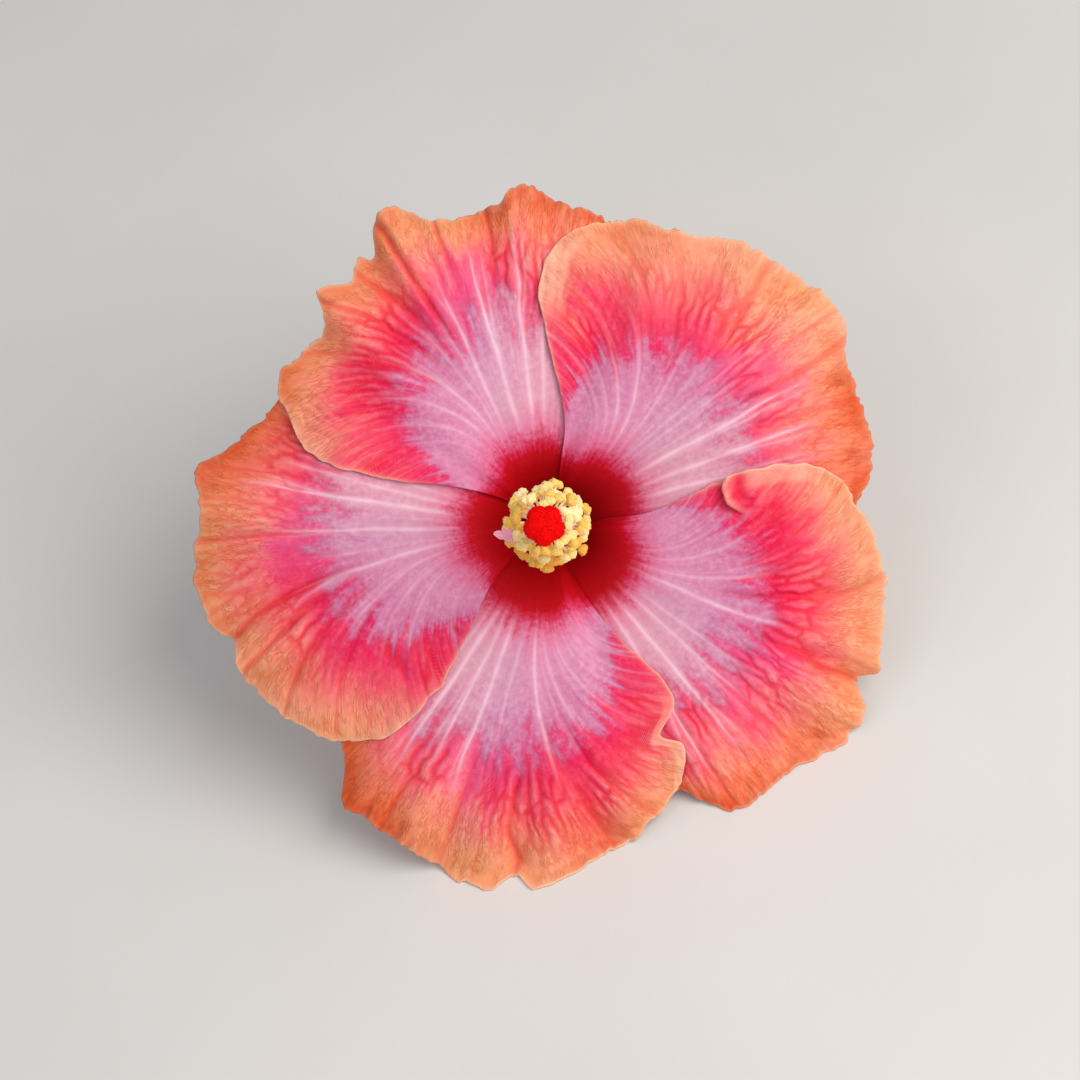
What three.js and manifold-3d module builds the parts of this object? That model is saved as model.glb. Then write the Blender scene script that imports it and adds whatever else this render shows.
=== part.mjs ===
// A tropical hibiscus flower, picked with a short stalk and laid face up on a table: five broad ruffled
// petals that overlap like a pinwheel, a hairy green calyx with a whorl of narrow bracts below it, and a long
// staminal column with the pistil running up through it to five round stigmas. The flower leans over on its
// stalk until two petals touch the table. Millimetres, +Z up, the origin under the middle of the flower, on
// the table.
//
// Every piece is made in the flower's own frame: the origin where the petals join the stalk, +Z along the
// flower's axis towards the stigmas, +X to the right and +Y up for someone who looks straight into the
// flower. Radii are measured from that axis, and a petal's angles from its own midline, anticlockwise as seen
// from the front.
import * as THREE from "three";
import { mergeVertices } from "three/addons/utils/BufferGeometryUtils.js";
import Module from "manifold-3d";

const wasm = await Module();
wasm.setup();

// How the flower lies.
const LEAN = 41; // degrees between the flower's axis and straight up
const TURN = -19.6; // degrees that the flower is turned about its axis, so that two petals touch the table
const STALK_LENGTH = 28;
const STALK_BEND = 1.2; // how far the stalk's cut end lies off the axis

// The petals.
const PETAL_COUNT = 5;
const PETAL_STEP = 360 / PETAL_COUNT;
const PETAL_THICKNESS = 0.6;
const PETAL_COLUMNS = 32;
const PETAL_ROWS = 13;
const CLAW_RADIUS = 4.2;
const FULL_RADIUS = 80;
const TWIST = 1.7; // how far a petal's upper edge rises, and its lower edge falls, at half a petal step
const ARCH = 2.4; // how far both sides of a petal fall away from its midline at 45 degrees
const OVERLAP_CLEARANCE = 1.9; // between the middle surfaces of a petal and the one that it lies on
const TABLE_SOFTNESS = 1.2; // over this height a petal bends to lie along the table

// Radius and height along a petal, from the claw inside the calyx to the outer margin.
const PETAL_PROFILE = [
  [4.2, 1.6], [4.8, 8], [5.9, 15], [8, 22], [12, 29], [18, 34.2],
  [28, 38.6], [42, 41.4], [54, 41.8], [68, 39], [80, 34], [90, 29],
];

// Radius and angle along the lower edge, which lies hidden under the next petal.
const LOWER_EDGE = [
  [4.2, -30.5], [8, -32.5], [13, -35.5], [22, -38], [35, -43], [50, -46], [60, -45], [68, -41],
];
// The inner end of every upper edge.
const UPPER_CLAW = [[4.2, 30.5], [8, 32.5], [13, 36]];

// The five petals, anticlockwise from the one at the right. edge: radius and angle along the upper edge.
// margin: angle and radius along the outer margin. folds: creases that run out to the margin, as angle, half
// width, lift at the margin and the radius where they start.
const PETALS = [
  {
    name: "petal_upper_right", middle: 43, wave: 0.15,
    edge: [
      [21.7, 37.4], [28.8, 41], [37.7, 46], [44.6, 48.2], [51.4, 49.3], [57.2, 48.8], [62.9, 46.8],
      [67.2, 43],
    ],
    margin: [
      [37.5, 70.6], [31, 73.1], [25, 73.4], [20, 75], [14, 78.2], [8, 79.6], [2, 80.8], [-5, 83.2],
      [-9, 82.8], [-13, 78.9], [-19, 77.5], [-25, 76.6], [-31, 76.4], [-37, 73], [-42, 69],
    ],
    folds: [[-7, 5, 3.2, 52], [-13, 3.5, -2.4, 55], [22, 5, -2, 50], [-33, 5, 2, 48]],
  },
  {
    name: "petal_upper_left", middle: 115, wave: 0.4,
    edge: [[21.9, 42], [35.2, 48.6], [47.1, 49.5], [53.3, 49.3], [60.1, 46.5], [66, 41]],
    margin: [
      [38.5, 69.2], [35, 71.8], [32, 69.7], [26, 68.2], [22.5, 69.2], [19.5, 75.2], [14.5, 72], [10.5, 75.4],
      [8, 74.2], [5, 80], [1.5, 81.8], [-1, 79.2], [-4, 74.9], [-9, 73.3], [-16, 75.4], [-20.6, 78.4],
      [-27, 74.3], [-34, 72.3], [-41, 68],
    ],
    folds: [
      [3.5, 3.2, 4.2, 30], [9, 3, -2.6, 45], [-9, 6, -2.2, 45], [-20, 5, 2.4, 50], [19, 3, 2.4, 52],
      [26, 4, -2, 52],
    ],
  },
  {
    name: "petal_left", middle: 187, wave: 0.7,
    edge: [[19, 39], [28, 45], [37, 47.8], [45.5, 48.8], [55, 47.7], [61.9, 44.9]],
    margin: [
      [39.2, 68.6], [36, 71.6], [32, 73.3], [28, 75.2], [23, 77.3], [18, 79.2], [13.5, 77], [10.5, 80.8],
      [5, 82.2], [2, 83], [-4, 81.8], [-10, 80.2], [-16.5, 81.8], [-20, 76.2], [-25, 72], [-30, 69],
      [-36, 67], [-41, 65],
    ],
    folds: [
      [13.5, 3.2, -3.6, 42], [18, 3.5, 2.6, 50], [-17, 4, 2.4, 50], [-25, 6, -3.2, 48], [32, 5, 1.8, 50],
    ],
  },
  {
    name: "petal_lower", middle: 259, wave: 0.95,
    edge: [[23.1, 40], [32.5, 43.6], [39.5, 46.2], [46.4, 46.8], [55.5, 44.4], [62, 41.6]],
    margin: [
      [38.1, 66.8], [33, 70], [29, 72.5], [26, 75], [20, 76.8], [14, 80.7], [8.5, 83.4], [5.3, 81], [2, 84.7],
      [-2, 84.8], [-9, 82], [-15, 81.2], [-21, 80], [-25, 80.4], [-28, 75.9], [-31, 70.8], [-36, 67],
      [-41, 64.5],
    ],
    folds: [[5.3, 3, -2.6, 55], [22, 4, -2.2, 50], [-28, 5, -2.6, 50], [33, 5, 1.6, 45]],
  },
  {
    name: "petal_lower_right", middle: 331, wave: 0.25,
    edge: [[21, 35.6], [32.9, 41], [43.9, 43.4], [52.4, 43.9], [59, 42.4], [66.3, 38.9]],
    margin: [
      [35, 69.9], [32, 71.3], [29, 74], [23, 76.8], [17, 79.4], [11, 80.8], [5, 82.7], [2.2, 79.4],
      [-1, 84.8], [-7, 84.6], [-11, 82], [-15, 80.2], [-20, 79], [-28, 78.2], [-31, 74.2], [-34, 68.8],
      [-41, 65.5],
    ],
    folds: [[2.2, 3, -3.8, 52], [6.5, 3, 2, 58], [36, 5, 3, 42], [-13, 5, -2, 55], [-27, 4, 2, 58]],
  },
];

// The calyx and its bracts.
const CALYX_WALL = 0.7;
const CALYX_LOBES = 5;
const CALYX_COLUMNS = 35;
const CALYX_ROWS = 7;
const CALYX_SINUS = 0.62; // share of the calyx's length at which its lobes part
const CALYX_PROFILE = [
  [2.75, 0.5], [4.6, 0.6], [5.6, 2.6], [6.05, 8], [7.25, 14.5], [9.4, 20], [12.6, 24.6], [16.4, 27.2],
];
const BRACT_COUNT = 7;
const BRACT_WIDTH = 2.4;
const BRACT_THICKNESS = 0.7;
// Radius and height along a bract, from the collar to its tip.
const BRACT_PATH = [[3.7, -1.5], [5.9, -0.9], [7.3, 1.4], [8.1, 4.6], [9.5, 8.2], [12.2, 11.4]];
const COLLAR_PROFILE = [[3.15, -2.6], [4.1, -2.4], [4.3, -1.3], [4, -0.45], [2.9, -0.4], [2.75, -1.4]];

// The stalk, from its cut end to the boss that stands in the calyx's floor: radius and height.
const STALK_PROFILE = [
  [1.25, -28], [1.3, -20], [1.35, -13.6], [1.75, -12.6], [1.75, -11.8], [1.4, -11],
  [1.5, -6], [2.2, -2.7], [2.4, -1.4], [2.4, -0.3], [2.4, 0.9],
];
const STALK_SIDES = 10;

// The staminal column: a tube with stamens all round its outer part, open for the style.
const COLUMN_SIDES = 12;
const COLUMN_BEND = { x: -1.2, y: -0.4, height: 105 }; // how far it has bent aside at a height
// Radius and height up the tube's outside, and down its bore.
const COLUMN_OUTSIDE = [
  [3.4, 1.5], [3.45, 4], [2.9, 9], [2.45, 18], [2.3, 40], [2, 70], [1.75, 92], [1.35, 96],
];
const COLUMN_INSIDE = [[1.02, 96], [1.02, 70], [1.02, 40], [1.02, 11], [1.6, 9], [2.75, 6], [2.8, 1.5]];
const STAMEN_COUNT = 56;
const STAMEN_FROM = 63;
const STAMEN_TO = 93.5;
const GOLDEN_ANGLE = 137.508;
const FILAMENT_LENGTH = 7;
const FILAMENT_THICKNESS = 0.62;
const ANTHER = { length: 3, width: 2.1, height: 2.1 };
// Two stamens that grew into small pink tongues. Each curves round the column from one angle to another.
const TONGUES = [
  { from: 214, to: 189, height: 85.5, length: 10, width: 3.2 },
  { from: -8, to: -13, height: 85, length: 7.5, width: 1.7 },
];
const TONGUE_THICKNESS = 0.7;

// The pistil: ovary, style, and five branches that each end in a round stigma.
const PISTIL_SIDES = 10;
const PISTIL_PROFILE = [
  [0, 1.25], [1.7, 1.3], [2.4, 2.8], [2.35, 4.6], [1.5, 7.2], [0.68, 10], [0.66, 40], [0.66, 70], [0.7, 97],
  [0.95, 98.6], [0, 99.4],
];
const STIGMA_COUNT = 5;
const STIGMA_RADIUS = 2.42;
const STIGMA_SPREAD = 2; // from the axis to the middle of a stigma
const STIGMA_HEIGHT = 104.6;
const STIGMA_TURN = -90; // degrees of the first stigma
const BRANCH_RADIUS = 0.5;

const { clamp, degToRad, lerp, smoothstep } = THREE.MathUtils;

// A smooth curve through points of rising or falling first value, as a function that gives the second.
function curveThrough(points) {
  const list = points[0][0] < points.at(-1)[0] ? points : [...points].reverse();
  const rise = (i, j) => (list[j][1] - list[i][1]) / (list[j][0] - list[i][0]);
  const last = list.length - 1;
  const slope = list.map((p, i) => rise(Math.max(i - 1, 0), Math.min(i + 1, last)));
  return (x) => {
    if (x <= list[0][0]) return list[0][1];
    if (x >= list[last][0]) return list[last][1];
    const i = list.findIndex((p, k) => k < last && x <= list[k + 1][0]);
    const width = list[i + 1][0] - list[i][0];
    const u = (x - list[i][0]) / width;
    return (
      list[i][1] * (1 + 2 * u) * (1 - u) ** 2 + list[i + 1][1] * u * u * (3 - 2 * u) +
      width * (slope[i] * u * (1 - u) ** 2 - slope[i + 1] * u * u * (1 - u))
    );
  };
}

// a or b, whichever is higher, with a rounded change from one to the other.
function softMax(a, b, softness) {
  const d = a - b;
  if (d >= softness) return a;
  return d <= -softness ? b : b + (d + softness) ** 2 / (4 * softness);
}

const polar = (radius, degrees, z) =>
  new THREE.Vector3(radius * Math.cos(degToRad(degrees)), radius * Math.sin(degToRad(degrees)), z);

// Straight up in the flower's frame, and the table's height there above any x and y.
const up = new THREE.Vector3(0, 0, 1)
  .applyAxisAngle(new THREE.Vector3(1, 0, 0), degToRad(-LEAN))
  .applyAxisAngle(new THREE.Vector3(0, 0, 1), degToRad(-TURN));
const stalkEnd = new THREE.Vector3(-up.x, -up.y, 0).setLength(STALK_BEND).setZ(-STALK_LENGTH);
const tableHeight = (x, y) => stalkEnd.z - ((x - stalkEnd.x) * up.x + (y - stalkEnd.y) * up.y) / up.z;

// ---- Petals ----

const petalProfile = curveThrough(PETAL_PROFILE);
const lowerEdge = curveThrough(LOWER_EDGE);
for (const petal of PETALS) {
  petal.upperEdge = curveThrough([...UPPER_CLAW, ...petal.edge, [petal.margin[0][1], petal.margin[0][0]]]);
  petal.outerMargin = curveThrough(petal.margin);
}

// The waves and creases that grow towards a petal's margin.
function ruffle(petal, radius, angle) {
  const wave = (degrees, shift) => Math.sin(2 * Math.PI * (angle / degrees + petal.wave + shift));
  const outer = smoothstep(radius, 34, FULL_RADIUS) ** 1.4;
  let lift = outer * (1.3 * wave(24, 0) + 0.9 * wave(12.7, 0.3));
  for (const [at, halfWidth, height, from] of petal.folds) {
    lift += height * Math.exp(-(((angle - at) / halfWidth) ** 2)) * smoothstep(radius, from, FULL_RADIUS);
  }
  return lift;
}

// Height of a petal's middle surface by itself, and where it lies on the table.
function lyingHeight(petal, radius, angle) {
  const flare = smoothstep(radius, 20, FULL_RADIUS);
  const free =
    petalProfile(radius) +
    (TWIST * smoothstep(radius, CLAW_RADIUS, 11) * angle * 2) / PETAL_STEP -
    ARCH * flare * (angle / 45) ** 2 +
    ruffle(petal, radius, angle);
  const { x, y } = polar(radius, petal.middle + angle, 0);
  return softMax(free, tableHeight(x, y) + PETAL_THICKNESS / 2 / up.z, TABLE_SOFTNESS);
}

// The same, where its upper edge also lies on the next petal anticlockwise.
function petalHeight(index, radius, angle) {
  const own = lyingHeight(PETALS[index], radius, angle);
  const share = smoothstep(angle, 12, 24);
  if (share === 0) return own;
  const below = lyingHeight(PETALS[(index + 1) % PETAL_COUNT], radius, angle - PETAL_STEP);
  const clearance = lerp(0.8, 1, smoothstep(radius, 8, 20)) * OVERLAP_CLEARANCE;
  return lerp(own, softMax(own, below + clearance, 0.8), share);
}

// A point of a petal's middle surface: across from 0 at the upper edge to 1 at the lower, along from claw to
// margin.
function petalPoint(index, across, along) {
  const petal = PETALS[index];
  const share = along ** 1.5 * (1.22 - 0.22 * along ** 2);
  const radiusAt = (angle) => lerp(CLAW_RADIUS, petal.outerMargin(angle), share);
  const top = petal.upperEdge(radiusAt(petal.margin[0][0]));
  const bottom = lowerEdge(radiusAt(petal.margin.at(-1)[0]));
  const angle = lerp(top, bottom, across);
  const radius = radiusAt(angle);
  return polar(radius, petal.middle + angle, petalHeight(index, radius, angle));
}

// ---- Solids ----

// A closed sheet of even thickness about a middle surface. Both faces are split into triangles alike. With
// round, the last column joins the first.
function sheet(pointAt, columns, rows, thickness, round = false) {
  const step = 1e-3;
  const wide = round ? columns : columns + 1;
  const positions = [];
  for (const side of [0.5, -0.5]) {
    for (let j = 0; j <= rows; j++) {
      for (let i = 0; i < wide; i++) {
        const u = i / columns;
        const v = clamp(j / rows, step, 1 - step);
        const acrossFrom = round ? u - step : Math.max(u - step, 0);
        const acrossTo = round ? u + step : Math.min(u + step, 1);
        const across = pointAt(acrossTo, v).sub(pointAt(acrossFrom, v));
        const along = pointAt(u, v + step).sub(pointAt(u, v - step));
        const normal = across.cross(along).normalize();
        positions.push(...pointAt(u, j / rows).addScaledVector(normal, side * thickness).toArray());
      }
    }
  }
  const front = (i, j) => j * wide + (i % wide);
  const back = (i, j) => front(i, j) + wide * (rows + 1);
  const index = [];
  const quad = (a, b, c, d) => index.push(a, b, c, a, c, d);
  for (let j = 0; j < rows; j++) {
    for (let i = 0; i < columns; i++) {
      quad(front(i, j), front(i + 1, j), front(i + 1, j + 1), front(i, j + 1));
      index.push(back(i, j), back(i + 1, j + 1), back(i + 1, j));
      index.push(back(i, j), back(i, j + 1), back(i + 1, j + 1));
    }
  }
  for (let i = 0; i < columns; i++) {
    quad(front(i, 0), back(i, 0), back(i + 1, 0), front(i + 1, 0));
    quad(front(i + 1, rows), back(i + 1, rows), back(i, rows), front(i, rows));
  }
  for (let j = 0; j < rows && !round; j++) {
    quad(front(0, j + 1), back(0, j + 1), back(0, j), front(0, j));
    quad(front(columns, j), back(columns, j), back(columns, j + 1), front(columns, j + 1));
  }
  const geometry = new THREE.BufferGeometry();
  geometry.setAttribute("position", new THREE.Float32BufferAttribute(positions, 3));
  geometry.setIndex(index);
  return geometry;
}

// A solid turned about the flower's axis from a profile of radius and height, which starts and ends on the
// axis or closes on itself.
function turned(profile, sides) {
  const points = profile.map(([r, z]) => new THREE.Vector2(r, z));
  return new THREE.LatheGeometry(points, sides).rotateX(Math.PI / 2);
}

function toManifold(geometry) {
  const plain = new THREE.BufferGeometry();
  plain.setAttribute("position", geometry.getAttribute("position"));
  plain.setIndex(geometry.index);
  const merged = mergeVertices(plain, 1e-4);
  const solid = new wasm.Manifold(
    new wasm.Mesh({
      numProp: 3,
      vertProperties: new Float32Array(merged.attributes.position.array),
      triVerts: new Uint32Array(merged.index.array),
    }),
  );
  if (solid.volume() < 0) throw new Error("a solid is inside out");
  return solid;
}

function fused(geometries) {
  const mesh = wasm.Manifold.union(geometries.map(toManifold)).getMesh();
  const geometry = new THREE.BufferGeometry();
  geometry.setAttribute("position", new THREE.BufferAttribute(mesh.vertProperties, 3));
  geometry.setIndex(new THREE.BufferAttribute(mesh.triVerts, 1));
  return geometry;
}

// A straight tapering rod between two points, with few sides.
function rod(from, to, radiusFrom, radiusTo, sides) {
  const along = to.clone().sub(from);
  const cylinderAxis = new THREE.Vector3(0, 1, 0);
  return new THREE.CylinderGeometry(radiusTo, radiusFrom, along.length(), sides)
    .applyQuaternion(new THREE.Quaternion().setFromUnitVectors(cylinderAxis, along.clone().normalize()))
    .translate(...from.clone().add(to).multiplyScalar(0.5).toArray());
}

const material = (color, roughness) =>
  new THREE.MeshStandardMaterial({ color, roughness, metalness: 0, side: THREE.DoubleSide });

function piece(name, geometry, finish) {
  const mesh = new THREE.Mesh(geometry, finish);
  mesh.name = name;
  return mesh;
}

// ---- Green parts ----

const stalkProfile = curveThrough(STALK_PROFILE.map(([r, z]) => [z, r]));

// The stalk bends a little, and its slanting cut lies flat on the table.
function stalk() {
  const geometry = turned([[0, -STALK_LENGTH], ...STALK_PROFILE, [0, STALK_PROFILE.at(-1)[1]]], STALK_SIDES);
  const position = geometry.getAttribute("position");
  for (let i = 0; i < position.count; i++) {
    const z = position.getZ(i);
    const bend = clamp(-z / STALK_LENGTH, 0, 1) ** 2;
    const x = position.getX(i) + stalkEnd.x * bend;
    const y = position.getY(i) + stalkEnd.y * bend;
    position.setXYZ(i, x, y, z === -STALK_LENGTH ? tableHeight(x, y) : z);
  }
  return geometry;
}

const calyxRadius = curveThrough(CALYX_PROFILE.map(([r], i) => [i / (CALYX_PROFILE.length - 1), r]));
const calyxHeight = curveThrough(CALYX_PROFILE.map(([, z], i) => [i / (CALYX_PROFILE.length - 1), z]));

// The calyx is a bell with five pointed lobes; round it once, and up from its floor to the lobes' edge.
function calyxPoint(round, upwards) {
  const fromLobe = Math.abs((((round * CALYX_LOBES) % 1) + 1) % 1 - 0.5) * 2;
  const share = upwards * lerp(CALYX_SINUS, 1, fromLobe ** 1.25);
  return polar(calyxRadius(share), -360 * round, calyxHeight(share));
}

const bractRadius = curveThrough(BRACT_PATH.map(([r], i) => [i / (BRACT_PATH.length - 1), r]));
const bractHeight = curveThrough(BRACT_PATH.map(([, z], i) => [i / (BRACT_PATH.length - 1), z]));

// The collar sits round the stalk's top, and the bracts spread out and up from it.
function epicalyx() {
  const collar = turned([...COLLAR_PROFILE, COLLAR_PROFILE[0]], BRACT_COUNT * 2);
  const bracts = Array.from({ length: BRACT_COUNT }, (_, k) => {
    const turn = degToRad((360 * k) / BRACT_COUNT);
    return sheet(
      (across, along) => {
        const swell = 0.34 + 0.66 * Math.sin(Math.PI * (0.22 + 0.72 * along));
        const half = (BRACT_WIDTH / 2) * swell * (1 - 0.6 * along ** 6);
        return new THREE.Vector3(bractRadius(along), lerp(half, -half, across), bractHeight(along))
          .applyAxisAngle(new THREE.Vector3(0, 0, 1), turn);
      },
      2, 7, BRACT_THICKNESS,
    );
  });
  return fused([collar, ...bracts]);
}

// ---- Staminal column and pistil ----

// The column is a little bent, and the pistil inside it with it.
function bent(geometry) {
  const position = geometry.getAttribute("position");
  for (let i = 0; i < position.count; i++) {
    const share = (position.getZ(i) / COLUMN_BEND.height) ** 2;
    position.setX(i, position.getX(i) + COLUMN_BEND.x * share);
    position.setY(i, position.getY(i) + COLUMN_BEND.y * share);
  }
  return geometry;
}

const columnRadius = curveThrough(COLUMN_OUTSIDE.map(([r, z]) => [z, r]));

// One stamen: a slim filament with its root sunk in the tube's wall, and an anther across its end.
function stamen(number) {
  const share = number / (STAMEN_COUNT - 1);
  const spiral = number * GOLDEN_ANGLE;
  const angle = spiral + 5 * Math.sin(degToRad(spiral * 6 + 40));
  const rootHeight = lerp(STAMEN_FROM, STAMEN_TO, share ** 0.85);
  const length = FILAMENT_LENGTH * (0.86 + 0.14 * Math.sin(number * 4.1)) * lerp(1.06, 0.82, share);
  const climb = lerp(0.06, 0.85, share ** 1.8) + 0.12 * Math.sin(number * 1.7);
  const wall = columnRadius(rootHeight);
  const root = polar(wall - 0.45, angle, rootHeight);
  const tip = polar(wall + length * Math.cos(climb), angle, rootHeight + length * Math.sin(climb));
  const anther = new THREE.IcosahedronGeometry(0.5, 0)
    .scale(ANTHER.width, ANTHER.length, ANTHER.height)
    .rotateX(number * 0.9)
    .rotateY(-climb)
    .rotateZ(degToRad(angle))
    .translate(tip.x, tip.y, tip.z);
  return [rod(root, tip, FILAMENT_THICKNESS / 2, FILAMENT_THICKNESS / 2.4, 3), anther];
}

// A tongue starts inside the tube's wall, rises a little outwards, and both its sides turn up.
function tongue({ from, to, height, length, width }) {
  return sheet(
    (across, along) => {
      const half = (width / 2) * (0.25 + 0.75 * Math.sin(Math.PI * clamp(along * 0.94, 0, 1)) ** 0.8);
      const sideways = lerp(half, -half, across);
      const rise = 1.6 * along + 0.5 * (sideways / half) ** 2 * along;
      return new THREE.Vector3(1.2 + length * along, sideways, height + rise)
        .applyAxisAngle(new THREE.Vector3(0, 0, 1), degToRad(lerp(from, to, along)));
    },
    4, 8, TONGUE_THICKNESS,
  );
}

function staminalColumn() {
  const tube = turned([...COLUMN_OUTSIDE, ...COLUMN_INSIDE, COLUMN_OUTSIDE[0]], COLUMN_SIDES);
  const stamens = Array.from({ length: STAMEN_COUNT }, (_, k) => stamen(k)).flat();
  return fused([tube, ...TONGUES.map(tongue), ...stamens]);
}

function pistil() {
  const parts = [turned(PISTIL_PROFILE, PISTIL_SIDES)];
  for (let k = 0; k < STIGMA_COUNT; k++) {
    const angle = STIGMA_TURN + (360 * k) / STIGMA_COUNT;
    const fork = new THREE.Vector3(0, 0, 98.4);
    const bend = polar(STIGMA_SPREAD * 0.55, angle, 101.4);
    const pad = polar(STIGMA_SPREAD, angle, STIGMA_HEIGHT);
    parts.push(rod(fork, bend, BRANCH_RADIUS, BRANCH_RADIUS, 5));
    parts.push(rod(bend.clone().lerp(fork, 0.12), pad, BRANCH_RADIUS, BRANCH_RADIUS, 5));
    parts.push(
      new THREE.IcosahedronGeometry(STIGMA_RADIUS, 1).scale(1, 1, 0.72).rotateY(0.25)
        .rotateZ(degToRad(angle)).translate(pad.x, pad.y, pad.z),
    );
  }
  return fused(parts);
}

// ---- The flower ----

const petalFinish = material("#f0566c", 0.55);
const stalkFinish = material("#6f8f3c", 0.6);
const leafyFinish = material("#5d8a35", 0.6);
const columnFinish = material("#f0c05a", 0.65);
const pistilFinish = material("#e40d0d", 0.7);

function petalBlade(index) {
  const pointAt = (across, along) => petalPoint(index, across, along);
  return sheet(pointAt, PETAL_COLUMNS, PETAL_ROWS, PETAL_THICKNESS);
}

const flower = new THREE.Group();
flower.add(
  ...PETALS.map((petal, index) => piece(petal.name, petalBlade(index), petalFinish)),
  piece("calyx", sheet(calyxPoint, CALYX_COLUMNS, CALYX_ROWS, CALYX_WALL, true), leafyFinish),
  piece("epicalyx", epicalyx(), leafyFinish),
  piece("stalk", stalk(), stalkFinish),
  piece("staminal_column", bent(staminalColumn()), columnFinish),
  piece("pistil", bent(pistil()), pistilFinish),
);
flower.rotation.z = degToRad(TURN);

const leaning = new THREE.Group();
leaning.add(flower);
leaning.rotation.x = degToRad(LEAN);

// The lowest points lie on the table, and the flower's middle stands over the origin.
leaning.updateMatrixWorld(true);
const box = new THREE.Box3().setFromObject(leaning, true);
const middle = box.getCenter(new THREE.Vector3());
leaning.position.set(-middle.x, -middle.y, -box.min.z);

export default leaning;
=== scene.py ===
import math
import random
from functools import partial

import bmesh
import bpy
import numpy as np
from mathutils import Matrix, Vector
from mathutils import noise as solidNoise


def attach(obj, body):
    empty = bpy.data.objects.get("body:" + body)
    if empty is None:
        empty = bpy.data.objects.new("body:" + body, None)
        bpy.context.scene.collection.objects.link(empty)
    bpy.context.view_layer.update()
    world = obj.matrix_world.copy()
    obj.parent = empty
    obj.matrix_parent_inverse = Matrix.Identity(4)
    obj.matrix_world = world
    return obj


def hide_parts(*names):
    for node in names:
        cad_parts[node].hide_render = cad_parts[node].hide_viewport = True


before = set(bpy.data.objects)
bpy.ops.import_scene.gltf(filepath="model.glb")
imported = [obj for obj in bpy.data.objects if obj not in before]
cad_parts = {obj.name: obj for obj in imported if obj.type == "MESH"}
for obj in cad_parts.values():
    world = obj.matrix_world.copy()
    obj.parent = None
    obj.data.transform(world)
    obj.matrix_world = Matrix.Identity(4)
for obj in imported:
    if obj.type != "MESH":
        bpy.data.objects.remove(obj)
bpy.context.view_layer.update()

# A tropical hibiscus flower, picked and laid face up. Sizes are in millimetres in the flower's own frame. Its
# origin is where the petals join the stalk, +Z runs along its axis towards the stigmas, and +X is right and
# +Y is up for someone who looks straight into it. A petal's angles count anticlockwise from its own midline.
millimetre = 0.001  # in metres

lying = {
    "lean": 41.0,  # degrees between the flower's axis and straight up
    "turn": -19.6,  # degrees that it is turned about its axis
    "foot": (0.742, 23.013, 21.919),  # where the flower's origin lies in the row frame
    "stalkLength": 28.0,
    "stalkBend": 1.2,
}
toRow = (
    Matrix.Translation(Vector(lying["foot"]) * millimetre)
    @ Matrix.Rotation(math.radians(lying["lean"]), 4, "X")
    @ Matrix.Rotation(math.radians(lying["turn"]), 4, "Z")
    @ Matrix.Scale(millimetre, 4)
)
straightUp = (toRow.to_3x3().inverted() @ Vector((0, 0, 1))).normalized()
stalkEnd = Vector((-straightUp.x, -straightUp.y, 0)).normalized() * lying["stalkBend"]
stalkEnd.z = -lying["stalkLength"]


def smoothstep(x, low, high):
    t = np.clip((x - low) / (high - low), 0, 1)
    return t * t * (3 - 2 * t)


def mix(a, b, share):
    return a + (b - a) * share


def bell(distance, halfWidth):
    # 1 in the middle, fading to both sides
    return np.exp(-((distance / halfWidth) ** 2))


def softMax(a, b, softness):
    d = a - b
    blended = b + (d + softness) ** 2 / (4 * softness)
    return np.where(d >= softness, a, np.where(d <= -softness, b, blended))


def curveThrough(points):
    # the same smooth curve that the solids are made with
    xs, ys = np.array(sorted(points), float).T
    slopes = np.empty_like(ys)
    slopes[1:-1] = (ys[2:] - ys[:-2]) / (xs[2:] - xs[:-2])
    slopes[0] = (ys[1] - ys[0]) / (xs[1] - xs[0])
    slopes[-1] = (ys[-1] - ys[-2]) / (xs[-1] - xs[-2])

    def value(x):
        x = np.clip(np.asarray(x, float), xs[0], xs[-1])
        i = np.clip(np.searchsorted(xs, x, side="left") - 1, 0, len(xs) - 2)
        width = xs[i + 1] - xs[i]
        u = (x - xs[i]) / width
        return (
            ys[i] * (1 + 2 * u) * (1 - u) ** 2 + ys[i + 1] * u * u * (3 - 2 * u)
            + width * (slopes[i] * u * (1 - u) ** 2 - slopes[i + 1] * u * u * (1 - u))
        )

    return value


def curvesAlong(path):
    # radius and height along a path, from 0 at its first point to 1 at its last
    shares = np.arange(len(path)) / (len(path) - 1)
    return [curveThrough(zip(shares, numbers)) for numbers in zip(*path)]


def chance(i, j, seed):
    # an even spread of 0 to 1 that depends only on two whole numbers and the seed
    value = np.sin(i * 127.1 + j * 311.7 + seed * 74.7) * 43758.5453
    return value - np.floor(value)


def noise(x, y, seed):
    # smooth noise from -1 to 1
    i, j = np.floor(x), np.floor(y)
    u, v = x - i, y - j
    u, v = u * u * (3 - 2 * u), v * v * (3 - 2 * v)
    low = mix(chance(i, j, seed), chance(i + 1, j, seed), u)
    high = mix(chance(i, j + 1, seed), chance(i + 1, j + 1, seed), u)
    return mix(low, high, v) * 2 - 1


def polar(radius, degrees, z):
    turn = math.radians(degrees)
    return Vector((radius * math.cos(turn), radius * math.sin(turn), z))


def tableHeight(x, y):
    # where the table's level lies under a place in the flower's frame
    return stalkEnd.z - ((x - stalkEnd.x) * straightUp.x + (y - stalkEnd.y) * straightUp.y) / straightUp.z


def joinFaces(bm, distance=1e-4):
    bmesh.ops.remove_doubles(bm, verts=bm.verts, dist=distance)
    bmesh.ops.recalc_face_normals(bm, faces=bm.faces)


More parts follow.
